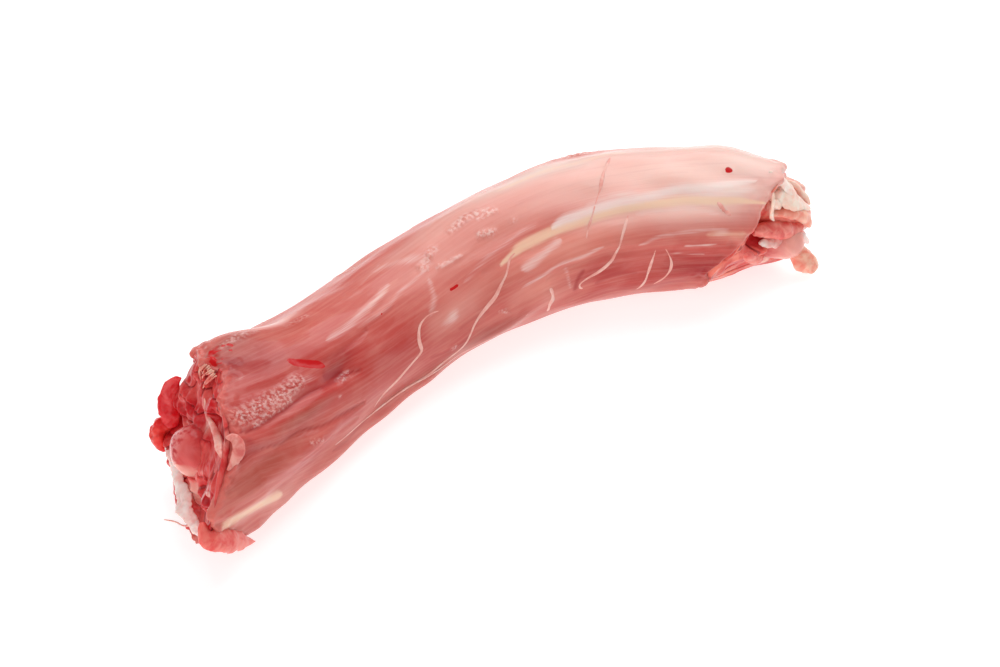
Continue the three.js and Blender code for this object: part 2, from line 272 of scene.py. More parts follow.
base_lip_t, base_lip_depth = lip(BASE_CUT, 11)
head_lip_t, head_lip_depth = lip(HEAD_CUT, 21)
side_share = np.linspace(0, 1, SLEEVE_ROWS)[1:-1, None]
side_t = base_lip_t[0] + (head_lip_t[0] - base_lip_t[0]) * side_share
t_rows = np.concatenate([base_lip_t[::-1], side_t, head_lip_t])
depth = np.concatenate([base_lip_depth[::-1], np.zeros_like(side_t), head_lip_depth])
angle_rows = np.broadcast_to(sleeve_angle, t_rows.shape)
radius_rows = plain_radius(t_rows)

# The side laid out flat, along and round, and how far each point lies from the cuts' edges.
grain = np.stack([t_rows * NECK_LENGTH, np.radians(angle_rows) * radius_rows, 0 * t_rows], -1)
laid_flat = grain[..., :2]
from_base = (t_rows - base_lip_t[0]) * NECK_LENGTH
from_head = (head_lip_t[0] - t_rows) * NECK_LENGTH

# The side's marks follow the points below, a little unevenly.
mark_x = grain[..., 0] + 0.4 * rumple(laid_flat, 8, 29)
mark_angle = angle_rows + 0.7 * rumple(laid_flat, 12, 30)


def patch(at, middle, long, wide):
    """A soft round patch on the side: a hump of the distance along, in mm, and round, in degrees."""
    along = (mark_x - at * NECK_LENGTH) / long
    return hump(np.hypot(along, turn_between(middle, mark_angle) / wide))


def rounded(points, cuts):
    """A line with its corners cut, each time at a quarter and three quarters of every piece."""
    line = np.array(points, float)
    for _ in range(cuts):
        quarters = np.stack([0.75 * line[:-1] + 0.25 * line[1:], 0.25 * line[:-1] + 0.75 * line[1:]], 1)
        line = np.concatenate([line[:1], quarters.reshape(-1, line.shape[1]), line[-1:]])
    return line


def stroke(points, width):
    """A rounded line on the side, 1 along it and 0 from its width off it, and pointed at its ends. The
    distance is taken on the side laid out flat, to the nearest of the line's straight pieces."""
    line = rounded(points, 2)
    pieces = len(line) - 1
    best = np.full(t_rows.shape, np.inf)
    for n, ((t, angle), (next_t, next_angle)) in enumerate(zip(line[:-1], line[1:])):
        step_x = (next_t - t) * NECK_LENGTH
        step_y = math.radians(next_angle - angle) * float(plain_radius(t))
        off_x = mark_x - t * NECK_LENGTH
        off_y = np.radians(turn_between(angle, mark_angle)) * radius_rows
        share = np.clip((off_x * step_x + off_y * step_y) / (step_x**2 + step_y**2), 0, 1)
        place = (n + share) / pieces
        thin = np.minimum(1, 0.15 + 5 * np.minimum(place, 1 - place))
        best = np.minimum(best, np.hypot(off_x - share * step_x, off_y - share * step_y) / (thin * width))
    return hump(best)


def all_of(marks):
    """The strongest of a list of marks, each with its strength, patch or stroke, and what that one takes."""
    total = np.zeros(t_rows.shape)
    for strength, kind, *values in marks:
        total = np.maximum(total, strength * kind(*values))
    return total


def tint(red, green, blue):
    """A colour given as it shows on a screen, 0 to 255, made linear."""
    return (*(((value / 255 + 0.055) / 1.055) ** 2.4 for value in (red, green, blue)), 1.0)


# The meat's colour: laid over pink in turn, as colour, strength and the place and reach of a patch. Near the
# head end these also hold painted light: a painted sheen on its top, and painted shade low on the inside of
# the bend.
PINK, ROSE, DEEP, DUSKY = (208, 100, 90), (190, 62, 58), (160, 28, 32), (172, 76, 64)
SALMON, PALE, BLUSH, CREAM = (206, 82, 60), (255, 210, 198), (226, 144, 132), (250, 226, 216)
PEACH = (238, 152, 136)
TONES_WITH_PAINTED_LIGHT = [
    (ROSE, 0.9, 0.02, 30, 36, 62), (ROSE, 0.9, 0.16, 44, 28, 46), (ROSE, 0.9, 0.29, 60, 26, 38),
    (DEEP, 1.0, 0.06, 2, 14, 19), (DEEP, 0.6, 0.11, 16, 12, 14), (SALMON, 0.9, 0.18, -7, 16, 16),
    (ROSE, 0.4, 0.22, 14, 12, 12), (PINK, 0.6, 0.28, 4, 12, 20), (DEEP, 0.8, 0.195, 41, 9, 11),
    (DUSKY, 1.0, 0.095, -12, 11, 13), (DUSKY, 0.8, 0.1, 60, 14, 8), (DUSKY, 0.8, 0.0, 74, 18, 12),
    (DEEP, 0.6, -0.02, 60, 9, 8),
    (ROSE, 0.9, 0.08, 90, 16, 15), (BLUSH, 0.6, 0.03, 106, 10, 10), (PALE, 0.4, -0.04, 96, 8, 9),
    (ROSE, 0.7, 0.18, 86, 20, 18), (ROSE, 0.5, 0.36, 86, 20, 20), (BLUSH, 1.0, 0.43, 62, 15, 24),
    (BLUSH, 0.9, 0.46, 16, 26, 40), (BLUSH, 1.0, 0.58, 10, 30, 46), (PALE, 0.4, 0.5, -12, 26, 24),
    (PEACH, 0.9, 0.66, 56, 32, 24), (PINK, 0.6, 0.5, 74, 8, 12), (PEACH, 0.8, 0.6, 82, 14, 16),
    # PALE and CREAM towards the head end and on its top: the membrane's own pallor, with a painted sheen on
    # it.
    (PALE, 0.62, 0.72, 8, 26, 40), (PALE, 1.0, 0.87, 14, 34, 46), (PALE, 0.95, 0.88, 44, 28, 24),
    (PALE, 0.5, 0.74, 46, 16, 14), (CREAM, 0.9, 0.68, -16, 28, 22), (CREAM, 0.7, 0.9, -16, 30, 26),
    # ROSE and DEEP from t 0.72 to 0.9, low on the inside of the bend at 86 to 112 degrees: painted shade.
    (CREAM, 0.7, 0.98, 6, 14, 30), (ROSE, 0.8, 0.72, 88, 18, 18), (ROSE, 0.9, 0.88, 86, 18, 20),
    (DEEP, 1.0, 0.9, 100, 20, 19), (DEEP, 0.5, 0.8, 112, 30, 18), (ROSE, 0.7, 0.42, 100, 26, 12),
    (DUSKY, 0.9, 0.47, 104, 24, 15), (BLUSH, 0.6, 0.62, 98, 10, 16),
    (ROSE, 0.7, 0.78, 106, 24, 18), (PEACH, 0.5, 0.95, 68, 8, 9), (ROSE, 0.5, 0.3, 104, 16, 12),
    (CREAM, 0.7, 0.94, 32, 14, 14), (DEEP, 0.4, 0.124, 0, 8, 9), (DEEP, 0.25, 0.72, 88, 18, 16),
    (ROSE, 0.3, 0.18, -7, 14, 12), (DEEP, 0.25, 0.095, -12, 11, 13), (DEEP, 0.3, 0.18, -7, 13, 12),
    (ROSE, 0.25, 0.37, 6, 16, 16), (PALE, 0.5, 0.19, -24, 12, 10),
    (PALE, 0.6, 0.75, -60, 40, 40), (ROSE, 0.7, 0.3, -100, 40, 40), (ROSE, 0.5, 0.75, -110, 30, 30),
    (SALMON, 0.5, 0.45, -50, 20, 22), (DUSKY, 0.6, 0.08, -80, 16, 30), (BLUSH, 0.5, 0.5, 170, 60, 60),
]
meat = np.ones(t_rows.shape + (1,)) * tint(*PINK)[:3]
for colour, strength, *place in TONES_WITH_PAINTED_LIGHT:
    meat += (np.array(tint(*colour)[:3]) - meat) * (strength * patch(*place))[..., None]

# Pale fascia: the long white band over the back of the bend, and lesser films and streaks. Two of the
# films carry a painted sheen as well.
fascia_and_sheen = all_of([
    (1.0, stroke, [
        (0.64, 41), (0.68, 37), (0.72, 36), (0.76, 35), (0.8, 34), (0.86, 31), (0.93, 28), (0.98, 24),
    ], 2.2),
    (0.55, stroke, [(0.7, 33), (0.76, 29), (0.84, 33), (0.92, 34), (0.98, 32)], 2.4),
    # Pale film with a painted sheen on it.
    (0.65, stroke, [(0.56, 62), (0.6, 57), (0.645, 51)], 1.8),
    (0.6, stroke, [(0.55, 76), (0.6, 71), (0.65, 69), (0.72, 66)], 0.9),
    (0.55, stroke, [(0.21, 23), (0.24, 22), (0.28, 20), (0.33, 15), (0.37, 11)], 1.5),
    (0.4, stroke, [(0.26, 27), (0.32, 27), (0.38, 22), (0.43, 18)], 1.1),
    (0.5, stroke, [(0.44, 22), (0.455, 25), (0.485, 27)], 0.8),
    (0.7, patch, 0.415, 67, 4, 9),
    (0.45, stroke, [(0.415, 26), (0.405, 36), (0.4, 44), (0.385, 54)], 1.4),
    (0.4, stroke, [(0.37, -12), (0.4, -4), (0.42, 4), (0.44, 12)], 2.6),
    (0.35, stroke, [(0.33, -6), (0.355, -9), (0.39, -16)], 0.6),
    (0.35, stroke, [(0.46, 47), (0.5, 40), (0.55, 37), (0.62, 33)], 1.6),
    (0.5, patch, 0.92, 66, 3.5, 5),
    # Pale film with a painted sheen on it.
    (0.4, stroke, [(0.78, 47), (0.83, 46), (0.88, 47), (0.92, 51)], 1.3),
    (0.5, stroke, [(0.775, 70), (0.81, 67), (0.84, 63), (0.9, 62), (0.935, 64)], 0.8),
    (0.75, stroke, [(0.855, 73), (0.885, 74), (0.93, 75)], 0.35),
    (0.5, stroke, [(0.825, 81), (0.86, 82), (0.9, 83)], 0.35),
    (0.45, patch, 0.14, 40, 4, 6),
    (0.4, patch, 0.045, 17, 3, 4),
    (0.55, patch, 0.175, 63, 1.1, 3),
    (0.4, stroke, [(0.64, 74), (0.645, 84), (0.65, 96)], 1.2),
    (0.5, stroke, [(0.5, -52), (0.6, -48), (0.7, -50), (0.82, -55), (0.93, -52)], 1.8),
    (0.5, stroke, [(0.1, -85), (0.22, -92), (0.34, -98), (0.46, -96)], 1.2),
    (0.5, patch, 0.36, -60, 6, 12),
])

# Yellow fat between the muscles, deep red meat where the membrane is thin, dots and streaks of blood, red
# nodules near the base, and pale froth, fine wrinkles where the membrane has come loose, whose whitish
# specks are painted glints as well as froth.
fat = all_of([
    (1.0, stroke, [
        (0.53, 50), (0.57, 45), (0.62, 43), (0.68, 43), (0.76, 41), (0.84, 40), (0.92, 40), (0.99, 42),
    ], 2.0),
    (0.9, stroke, [(-0.1, 92), (-0.06, 93), (-0.02, 98), (0.03, 104)], 2.6),
    (0.35, stroke, [(0.3, 19), (0.34, 14), (0.38, 12)], 1.2),
    (0.5, stroke, [(0.9, 66), (0.94, 68), (0.965, 66)], 2.0),
    (0.5, stroke, [(0.6, -12), (0.7, -14), (0.8, -12)], 1.8),
    (0.5, stroke, [(0.2, -70), (0.36, -76), (0.5, -78), (0.66, -76), (0.86, -74)], 1.3),
    (0.4, stroke, [(0.05, -130), (0.25, -134), (0.5, -130)], 1.6),
])
redness = all_of([
    (0.8, stroke, [(-0.02, 47), (0.04, 50), (0.1, 49), (0.15, 48.5), (0.19, 52), (0.22, 56)], 0.8),
    (0.6, stroke, [(0.0, 62), (0.05, 68), (0.09, 70), (0.13, 76), (0.2, 83)], 0.7),
    (0.9, stroke, [(0.165, 43), (0.185, 48), (0.2, 50)], 1.6),
    (0.4, stroke, [(0.2, 38), (0.24, 34), (0.3, 29), (0.34, 28)], 1.0),
    (0.7, patch, -0.012, 54, 3, 6),
    (0.6, patch, 0.05, 12, 1.2, 3),
    (0.6, patch, 0.12, -1, 0.8, 3),
    (0.7, stroke, [(0.66, 100), (0.665, 90), (0.68, 80)], 1.4),
    (0.5, stroke, [(0.7, 98), (0.74, 92), (0.78, 96)], 1.6),
    (0.5, stroke, [(0.84, 84), (0.88, 86), (0.93, 88)], 1.2),
    (0.5, stroke, [(0.36, 90), (0.4, 97), (0.44, 92)], 1.2),
    (0.4, stroke, [(0.42, 80), (0.46, 79), (0.49, 80)], 0.9),
    (0.5, stroke, [(0.14, 106), (0.19, 108), (0.23, 106)], 0.9),
    (0.6, patch, 0.3, -110, 12, 18),
])
blood = all_of([
    (1.0, stroke, [(0.131, 22.5), (0.14, 25.5), (0.152, 28.5), (0.166, 32), (0.181, 36.5)], 1.5),
    (1.0, patch, 0.94, 14.5, 0.95, 4.4),
    (0.42, stroke, [(-0.01, 5), (0.03, -3), (0.055, -10), (0.08, -17)], 2.2),
    (1.0, stroke, [(0.437, 46), (0.445, 46.5), (0.453, 46)], 0.6),
    (0.7, patch, 0.313, 28, 0.5, 1.6),
    (0.55, patch, 0.731, 56, 0.35, 1.2),
    (0.9, patch, -0.027, 26, 1.6, 4),
    (0.9, patch, 0.64, -82, 0.6, 2.4),
    (0.9, stroke, [(0.3, -58), (0.33, -54)], 0.6),
])
nodules = all_of([
    (1.0, patch, 0.063, -12, 3.2, 8), (1.0, patch, 0.045, -4, 3.4, 8), (0.9, patch, 0.085, -10, 2.6, 7),
    (0.9, patch, 0.03, 4, 2.6, 6),
])
beads = rumple(laid_flat, 1.5, 35)
blood = np.maximum(blood, nodules * (0.42 + 0.4 * beads))
froth_and_glints = all_of([
    (1.0, stroke, [(0.497, 3), (0.515, 0), (0.54, 0), (0.56, 3), (0.575, 7)], 1.5),
    (0.9, stroke, [(0.54, 6), (0.555, 7), (0.565, 6)], 0.9),
    (1.0, stroke, [(0.527, 20), (0.54, 20), (0.56, 23)], 1.1),
    (0.5, patch, 0.59, 21, 1.6, 4),
    (0.8, stroke, [(0.42, 17), (0.435, 14), (0.45, 8), (0.46, 8)], 1.6),
    (0.6, stroke, [(0.445, 22), (0.46, 25), (0.48, 26)], 0.8),
    (0.8, stroke, [(-0.02, 38), (0.03, 40), (0.08, 39), (0.13, 38)], 2.6),
    (0.8, stroke, [(0.01, 47), (0.06, 46), (0.11, 45)], 1.0),
    (0.9, stroke, [(0.19, 54), (0.2, 53.5), (0.21, 54)], 0.8),
    (0.7, stroke, [(0.085, 78), (0.1, 80), (0.11, 81)], 0.6),
    (0.7, stroke, [(0.5, 84), (0.51, 87), (0.525, 90)], 0.7),
    (0.8, patch, 0.408, 94, 1.2, 4),
    (0.7, patch, 0.566, 102, 1.0, 2.5),
    (0.6, patch, 0.1, -14, 12, 5),
    (0.6, patch, 0.22, -12, 6, 4),
    (0.6, patch, 0.74, -40, 8, 9),
    (0.6, patch, 0.2, -60, 8, 9),
])

# Relief, as heights: fibre bundles, soft unevenness, grooves between the muscles, the froth's fine wrinkles,
# and the edges near the cuts, frayed most on top of the base.
bundles = rumple(laid_flat * [0.07, 1.0], 2.4, 31)
uneven = rumple(laid_flat * [0.5, 1.0], 8, 32)
wrinkles = np.abs(rumple(laid_flat * [1.0, 0.8], 1.7, 33))
grooves = all_of([
    (0.9, stroke, [(-0.03, 47), (0.04, 50), (0.1, 49), (0.15, 48), (0.19, 52), (0.23, 58)], 1.5),
    (0.8, stroke, [(-0.05, 58), (0.0, 62), (0.05, 68), (0.09, 70), (0.14, 77), (0.22, 84)], 1.3),
    (0.5, stroke, [(-0.08, 86), (-0.02, 84), (0.06, 88), (0.14, 90), (0.2, 94)], 1.4),
    (0.5, stroke, [(0.13, 22), (0.18, 36), (0.22, 36), (0.28, 31)], 1.4),
    (0.4, stroke, [(0.02, 28), (0.08, 30), (0.14, 31)], 1.1),
    (0.45, stroke, [(0.5, 48), (0.56, 50), (0.64, 49), (0.74, 47), (0.86, 46), (0.93, 49)], 1.6),
    (0.4, stroke, [(0.6, 78), (0.66, 72), (0.74, 72), (0.8, 76), (0.9, 82)], 1.6),
    (0.35, stroke, [(0.3, 24), (0.38, 18), (0.42, 12)], 1.3),
    (0.6, stroke, [(0.1, -60), (0.3, -66), (0.5, -66), (0.8, -66)], 1.5),
    (0.6, stroke, [(0.1, -110), (0.3, -112), (0.6, -108), (0.85, -108)], 1.5),
])
near_base = hump(from_base / 6) * (1 + hump(turn_between(-8, angle_rows) / 24))
near_head = hump(from_head / 5)
lift = 0.016 * bundles + 0.1 * uneven - 0.5 * grooves + 0.12 * fascia_and_sheen + 0.26 * froth_and_glints * wrinkles
lift += (near_base + 0.6 * near_head) * 0.16 * rumple(laid_flat, 2.6, 34)
lift += 0.12 * all_of([(1.0, patch, 0.94, 14.5, 1.3, 6), (1.0, stroke, [(0.13, 22), (0.181, 36.5)], 1.5)])
lift += 0.12 * nodules * (1 + beads)

side_in, side_up = surface_offset(t_rows, angle_rows, lift - depth)


def dish(cut, row):
    """Rings that run on from a lip's last ring in to the middle, sinking to a plane behind the cut."""
    share = np.linspace(0, 1, DISH_ROWS + 1)[1:-1, None]
    inside, up = side_in[row] * (1 - share), side_up[row] * (1 - share)
    behind = cut_at(cut, inside, up) - cut["outward"] * DISH_DEPTH / NECK_LENGTH
    return point_at(t_rows[row] + (behind - t_rows[row]) * ease(4 * share), inside, up)


def with_dishes(values):
    """A side's values, repeated from its first and last rings over the dishes."""
    first = np.repeat(values[:1], DISH_ROWS - 1, 0)
    return np.concatenate([first, values, np.repeat(values[-1:], DISH_ROWS - 1, 0)])


side_rings = point_at(t_rows, side_in, side_up)
sleeve_rings = np.concatenate([dish(BASE_CUT, 0)[::-1], side_rings, dish(HEAD_CUT, -1)])
rim = np.maximum(hump(from_base / RIM_REACH), 0.3 * hump(from_head / RIM_REACH))
sleeve_values = {
    "grain": grain, "meat": meat, "fascia_and_sheen": fascia_and_sheen, "fat": fat, "redness": redness,
    "blood": blood, "froth_and_glints": froth_and_glints, "rim": rim,
}
sleeve_layers = {key: with_dishes(value) for key, value in sleeve_values.items()}
sleeve_mesh = closed_mesh("muscle_sleeve", [(sleeve_rings, sleeve_layers)])


class Wire:
    """A value in a material's node tree. Arithmetic on it adds Math nodes, and node() adds any other."""

    def __init__(self, tree, socket=None):
        self.tree = tree
        self.socket = socket

    def node(self, kind, settings, inputs, output=0):
        """Adds a node with its settings, then its inputs as numbers or links, and gives an output."""
        added = self.tree.nodes.new(kind)
        for key, value in settings.items():
            setattr(added, key, value)
        for key, value in inputs.items():
            if isinstance(value, Wire):
                self.tree.links.new(value.socket, added.inputs[key])
            else:
                added.inputs[key].default_value = value
        return Wire(self.tree, added.outputs[output])

    def math(self, operation, a, b):
        """A Math node on two values, each a number or a Wire."""
        return self.node("ShaderNodeMath", {"operation": operation}, {0: a, 1: b})

    def __add__(self, other):
        return self.math("ADD", self, other)

    __radd__ = __add__

    def __sub__(self, other):
        return self.math("SUBTRACT", self, other)

    def __rsub__(self, other):
        return self.math("SUBTRACT", other, self)

    def __mul__(self, other):
        return self.math("MULTIPLY", self, other)

    __rmul__ = __mul__

    def rise(self, low, high):
        """0 below low, 1 above high and an even S between."""
        inputs = {0: self, 1: low, 2: high, 3: 0.0, 4: 1.0}
        return self.node("ShaderNodeMapRange", {"interpolation_type": "SMOOTHSTEP"}, inputs)

    def mix(self, factor, first, second):
        """From the first colour to the second as the factor goes from 0 to 1."""
        return self.node("ShaderNodeMix", {"data_type": "RGBA"}, {0: factor, 6: first, 7: second}, 2)

    def noise(self, sizes, detail, distortion=0.0):
        """Soft noise from 0 to 1 over this vector, with lumps of about these sizes along its parts."""
        shares = tuple(1 / size for size in sizes)
        over = self.node("ShaderNodeVectorMath", {"operation": "MULTIPLY"}, {0: self, 1: shares})
        inputs = {"Vector": over, "Scale": 1.0, "Detail": detail, "Roughness": 0.55, "Distortion": distortion}
        return self.node("ShaderNodeTexNoise", {}, inputs)

    def spread(self, size, detail, distortion=0.0):
        """Noise over the piece's Object coordinates, with lumps of about that size in metres."""
        place = self.node("ShaderNodeTexCoord", {}, {}, "Object")
        return place.noise((size, size, size), detail, distortion)

    def layer(self, key):
        """A value that the mesh holds at its points."""
        output = "Vector" if key in ("grain", "meat") else "Fac"
        return self.node("ShaderNodeAttribute", {"attribute_name": key}, {}, output)

    def uneven(self, key, noise, share):
        """A value that the mesh holds, made that much higher and lower by noise."""
        return self.layer(key) + (noise - 0.5) * share


def wet_material(name, paint, see_through=0.4, deep=0.0014, shine=0.09):
    """Wet flesh: light, red light furthest, spreads inside it, and a thin coat of water shines on it.
    paint(wire) gives its colour, its roughness and the height of its fine relief in millimetres."""
    material = bpy.data.materials.new(name)
    material.use_nodes = True
    tree = material.node_tree
    shader = tree.nodes["Principled BSDF"]
    shader.inputs["Subsurface Weight"].default_value = see_through
    shader.inputs["Subsurface Radius"].default_value = (1.0, 0.45, 0.36)
    shader.inputs["Subsurface Scale"].default_value = deep
    shader.inputs["IOR"].default_value = 1.4
    shader.inputs["Specular IOR Level"].default_value = 0.2
    shader.inputs["Coat Weight"].default_value = 0.4
    shader.inputs["Coat Roughness"].default_value = shine
    shader.inputs["Coat IOR"].default_value = 1.33
    wire = Wire(tree)
    colour, roughness, height = paint(wire)
    bump = wire.node("ShaderNodeBump", {}, {"Strength": 1.0, "Distance": 0.001, "Height": height}, "Normal")
    for key, value in (("Base Color", colour), ("Roughness", roughness), ("Normal", bump)):
        tree.links.new(value.socket, shader.inputs[key])
    return material


def set_down(name, mesh, material, slot, *nodes):
    """Puts the piece in the scene with its material, riding on the neck and standing for these solids."""
    mesh.materials.append(material)
    piece = bpy.data.objects.new(name, mesh)
    bpy.context.scene.collection.objects.link(piece)
    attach(piece, "root")
    if nodes:
        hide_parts(*nodes)


def sleeve_paint(wire):
    """Meat in fine fibres along the neck, over which the films, fat, froth and blood of the side lie. Its
    colour
    holds painted light: sheen and shade in the meat's tones, a sheen on two films and glints on the froth.
    """
    grain_at = wire.layer("grain")
    fibres = grain_at.noise((16, 0.8, 1), 4)
    threads = grain_at.noise((7, 0.3, 1), 2)
    clouds = grain_at.noise((8, 4, 1), 4, 0.6)
    specks = grain_at.noise((0.9, 0.7, 1), 3)
    colour = wire.mix(clouds.rise(0.35, 0.75) * 0.14, wire.layer("meat"), tint(244, 176, 160))
    colour = wire.mix(fibres.rise(0.42, 0.7) * 0.12, colour, tint(250, 196, 180))
    colour = wire.mix((1 - fibres).rise(0.5, 0.75) * 0.12, colour, tint(184, 50, 48))
    colour = wire.mix(wire.uneven("redness", clouds, 0.5).rise(0.1, 0.9) * 0.75, colour, tint(166, 38, 42))
    colour = wire.mix(wire.uneven("fat", fibres, 0.6).rise(0.15, 1.0) * 0.8, colour, tint(255, 214, 184))
    # Pale films, two of them with a painted sheen.
    colour = wire.mix(wire.uneven("fascia_and_sheen", threads, 0.7).rise(0.1, 1.1) * 0.85, colour, tint(252, 226, 220))
    # The froth's whitish specks: its own pale colour, and painted glints.
    colour = wire.mix(wire.layer("froth_and_glints") * specks.rise(0.4, 0.65) * 0.7, colour, tint(255, 226, 220))
    colour = wire.mix(wire.uneven("rim", specks, 1.4).rise(0.3, 1.1) * 0.55, colour, tint(226, 116, 106))
    colour = wire.mix(wire.uneven("blood", specks, 0.2).rise(0.3, 0.5), colour, tint(200, 0, 10))
    height = 0.025 * threads + 0.012 * fibres + 0.12 * specks * wire.layer("froth_and_glints") + 0.012 * specks
    roughness = 0.34 + 0.2 * clouds
    return colour, roughness, height


set_down("muscle_sleeve", sleeve_mesh, wet_material("wet_muscle", sleeve_paint), "raw_meat", "neck_meat")

# ---- The cut flesh of the base ----
# Torn ends of muscles round the neck bone, red and lumpy, which fill the sleeve's hollow end. They are
# modelled on the cut's plane, raised and sunk by lumps, and run out of sight under the rolled lip.
BASE_LUMPS = [  # offset inside and up, radius, and how far each stands out
    (-4, 2, 6, 1.6), (-10.5, -6, 4, 4.5), (-9.8, 5.2, 4.6, 4.8), (0, 12, 4, 2), (5, 6.5, 3, -1.6),
    (10, 9, 3.4, -1.5), (8.5, -3, 3.6, -4.5), (4, -9.5, 3, -2.5), (-3.5, -10.5, 3.6, 3.2),
    (-12.5, 0.5, 3.2, 1.8), (16.0, 2.6, 1.5, -2.0), (-11.5, -2.5, 2.6, 1.5),
]
LUMP_FOOT = 1.5  # a lump ends at this many of its radii
BASE_HOLE = (0, 0)  # the middle of the hole for the bone, inside and up
HOLE_RADIUS = 4.2
FACE_ROWS = 110
FACE_SIDES = 320
FACE_BACK = 5.0  # the cut flesh goes this far behind its front
BACK_SHARE = 0.9  # width of its back, in widths of its front
BACK_STRIDE = 6  # its back has one ring for this many of its front
FACE_TUCK = 0.4  # how far its edge stays under the outer surface
FACE_EDGE = 1.6  # radius of its rounded edge
FACE_CALM = 3.0  # its fine lumps die out over this much of its edge
TORN_RIM = (-14, 44)  # middle and half width, in degrees, of the stretch that was torn into a comb

face_angle = np.linspace(-180, 180, FACE_SIDES, endpoint=False)


def lumpiness(lumps, inside, up):
    """How far a face stands out: the sum of its lumps, each a hump round its middle."""
    total = np.zeros(np.broadcast(inside, up).shape)
    for lump_in, lump_up, radius, out in lumps:
        total += out * hump(np.hypot(inside - lump_in, up - lump_up) / (LUMP_FOOT * radius))
    return total


def valleys(points, size, seed, width):
    """A web of narrow valleys, 1 on their floors: a hump of the distance from where a rumple crosses 0."""
    return hump(rumple(points, size, seed) / width)


def cut_flesh(cut, lumps, hole, rough):
    """The rings of a cut's flesh from its middle out to the lip, and back behind, with its values.
    rough(inside, up, flat) gives the height of its fine lumps and its values."""
    share = np.linspace(0, 1, FACE_ROWS)[1:, None]
    edge = edge_at(cut, face_angle)
    rim_in, rim_up = surface_offset(edge, face_angle, -FACE_TUCK)
    hole_in, hole_up = hole
    turn = np.radians(face_angle)
    middle_in, middle_up = hole_in + HOLE_RADIUS * np.sin(turn), hole_up + HOLE_RADIUS * np.cos(turn)
    inside = middle_in + (rim_in - middle_in) * share
    up = middle_up + (rim_up - middle_up) * share
    to_rim = np.hypot(rim_in - inside, rim_up - up) + FACE_TUCK
    corner = np.maximum(0, 1 - to_rim / FACE_EDGE)
    rounding = FACE_EDGE * (1 - np.sqrt(1 - corner**2))
    flat = np.stack([inside, up], -1)
    height, values = rough(inside, up, flat)
    tuck = 0.5 * hump((to_rim - 2 * LIP_EDGE) / LIP_EDGE)
    fine = height * ease(to_rim / FACE_CALM)
    raised = lumpiness(lumps, inside, up) * (1 - corner) - rounding - tuck + fine
    wander = share * (edge - cut_at(cut, rim_in, rim_up))
    front = point_at(cut_at(cut, inside, up) + wander + cut["outward"] * raised / NECK_LENGTH, inside, up)
    back_t = cut_at(cut, inside, up) - cut["outward"] * FACE_BACK / NECK_LENGTH
    back = point_at(back_t, inside * BACK_SHARE, up * BACK_SHARE)[::-BACK_STRIDE]
    last = {key: np.repeat(value[-1:], len(back), 0) for key, value in values.items()}
    rings = np.concatenate([front, back])
    return rings, {key: np.concatenate([value, last[key]]) for key, value in values.items()}


def spots(marks, inside, up):
    """The strongest of a list of round spots on a face: offset, radius and strength."""
    total = np.zeros(inside.shape)
    for spot_in, spot_up, radius, strength in marks:
        total = np.maximum(total, strength * hump(np.hypot(inside - spot_in, up - spot_up) / radius))
    return total


def base_rough(inside, up, flat):
    """Soft folds and nodules with few valleys, and the roots of the comb of fibres along the upper rim."""
    web = valleys(flat, 6.5, 41, 0.28)
    out = np.hypot(inside, up)
    angle = np.arctan2(inside, up)
    comb = ease((out - 10) / 4) * hump((np.degrees(angle) - TORN_RIM[0]) / TORN_RIM[1])
    teeth = rumple(np.stack([angle * 14 + 0.25 * out, out * 0.15], -1), 1.3, 43)
    height = 0.4 * rumple(flat, 4.5, 44) + 0.1 * rumple(flat, 1.6, 45) - 0.55 * web + 0.45 * comb * teeth
    gore = spots([
        (-9, 2, 6, 1.0), (-12, -4, 5, 0.9), (10, 1, 4, 1.0), (14, 2, 4, 1.0), (17, 1, 3, 0.9),
        (4, 12, 3.5, 1.0), (-4, 6, 5, 0.8), (8, -3, 4, 0.7), (-8, 9, 5, 0.7), (6, -1, 3, 0.9),
        (16, 2.6, 2, 1.0), (8, -2, 4, 1.0), (7, -5, 3, 0.8),
    ], inside, up)
    pale = spots([
        (2.5, 6.5, 3.6, 0.7), (-6, -8, 5, 0.7), (2.5, -7.5, 4.5, 1.0), (8, -9, 3.5, 0.7), (12, 11, 4, 0.6),
        (7, 8, 3, 0.4),
    ], inside, up)
    # Crevices along the near rim and the gaps between the comb's fibres, darkened as painted shade.
    crevice_shade = spots([
        (10.5, 2.5, 3.4, 0.7), (6.3, -4.5, 3, 0.6), (13.3, 2, 3, 0.7), (15.5, 1.3, 2.4, 0.8),
    ], inside, up)
    valley_shade = np.maximum(np.maximum(web, crevice_shade), comb * np.clip(-teeth, 0, 1))
    return height, {"valley_shade": valley_shade, "gore": gore, "pale": pale}


def torn_paint(dark, light, fatty):
    """Paint for torn meat: painted shade dark in its valleys, bright where blood lies, pale where fat and
    film show.
    """

    def paint(wire):
        clouds = wire.spread(0.004, 4, 0.5)
        specks = wire.spread(0.0012, 2)
        colour = wire.mix(clouds.rise(0.35, 0.65), dark, light)
        colour = wire.mix(wire.uneven("pale", clouds, 0.9).rise(0.2, 0.9) * 0.85, colour, fatty)
        colour = wire.mix(wire.uneven("gore", specks, 0.8).rise(0.25, 0.9) * 0.85, colour, tint(196, 4, 20))
        # Painted shade: near-black red in the valleys and crevices.
        colour = wire.mix(wire.uneven("valley_shade", specks, 0.5).rise(0.3, 1.0) * 0.7, colour, tint(136, 4, 14))
        return colour, 0.25 + 0.2 * clouds, 0.06 * specks + 0.1 * clouds

    return paint


torn_meat = wet_material("torn_meat", torn_paint(tint(206, 44, 48), tint(224, 92, 86), tint(244, 184, 170)))
base_flesh = closed_mesh("base_cut_flesh", [cut_flesh(BASE_CUT, BASE_LUMPS, BASE_HOLE, base_rough)])
set_down("base_cut_flesh", base_flesh, torn_meat, "raw_meat", "neck_meat")

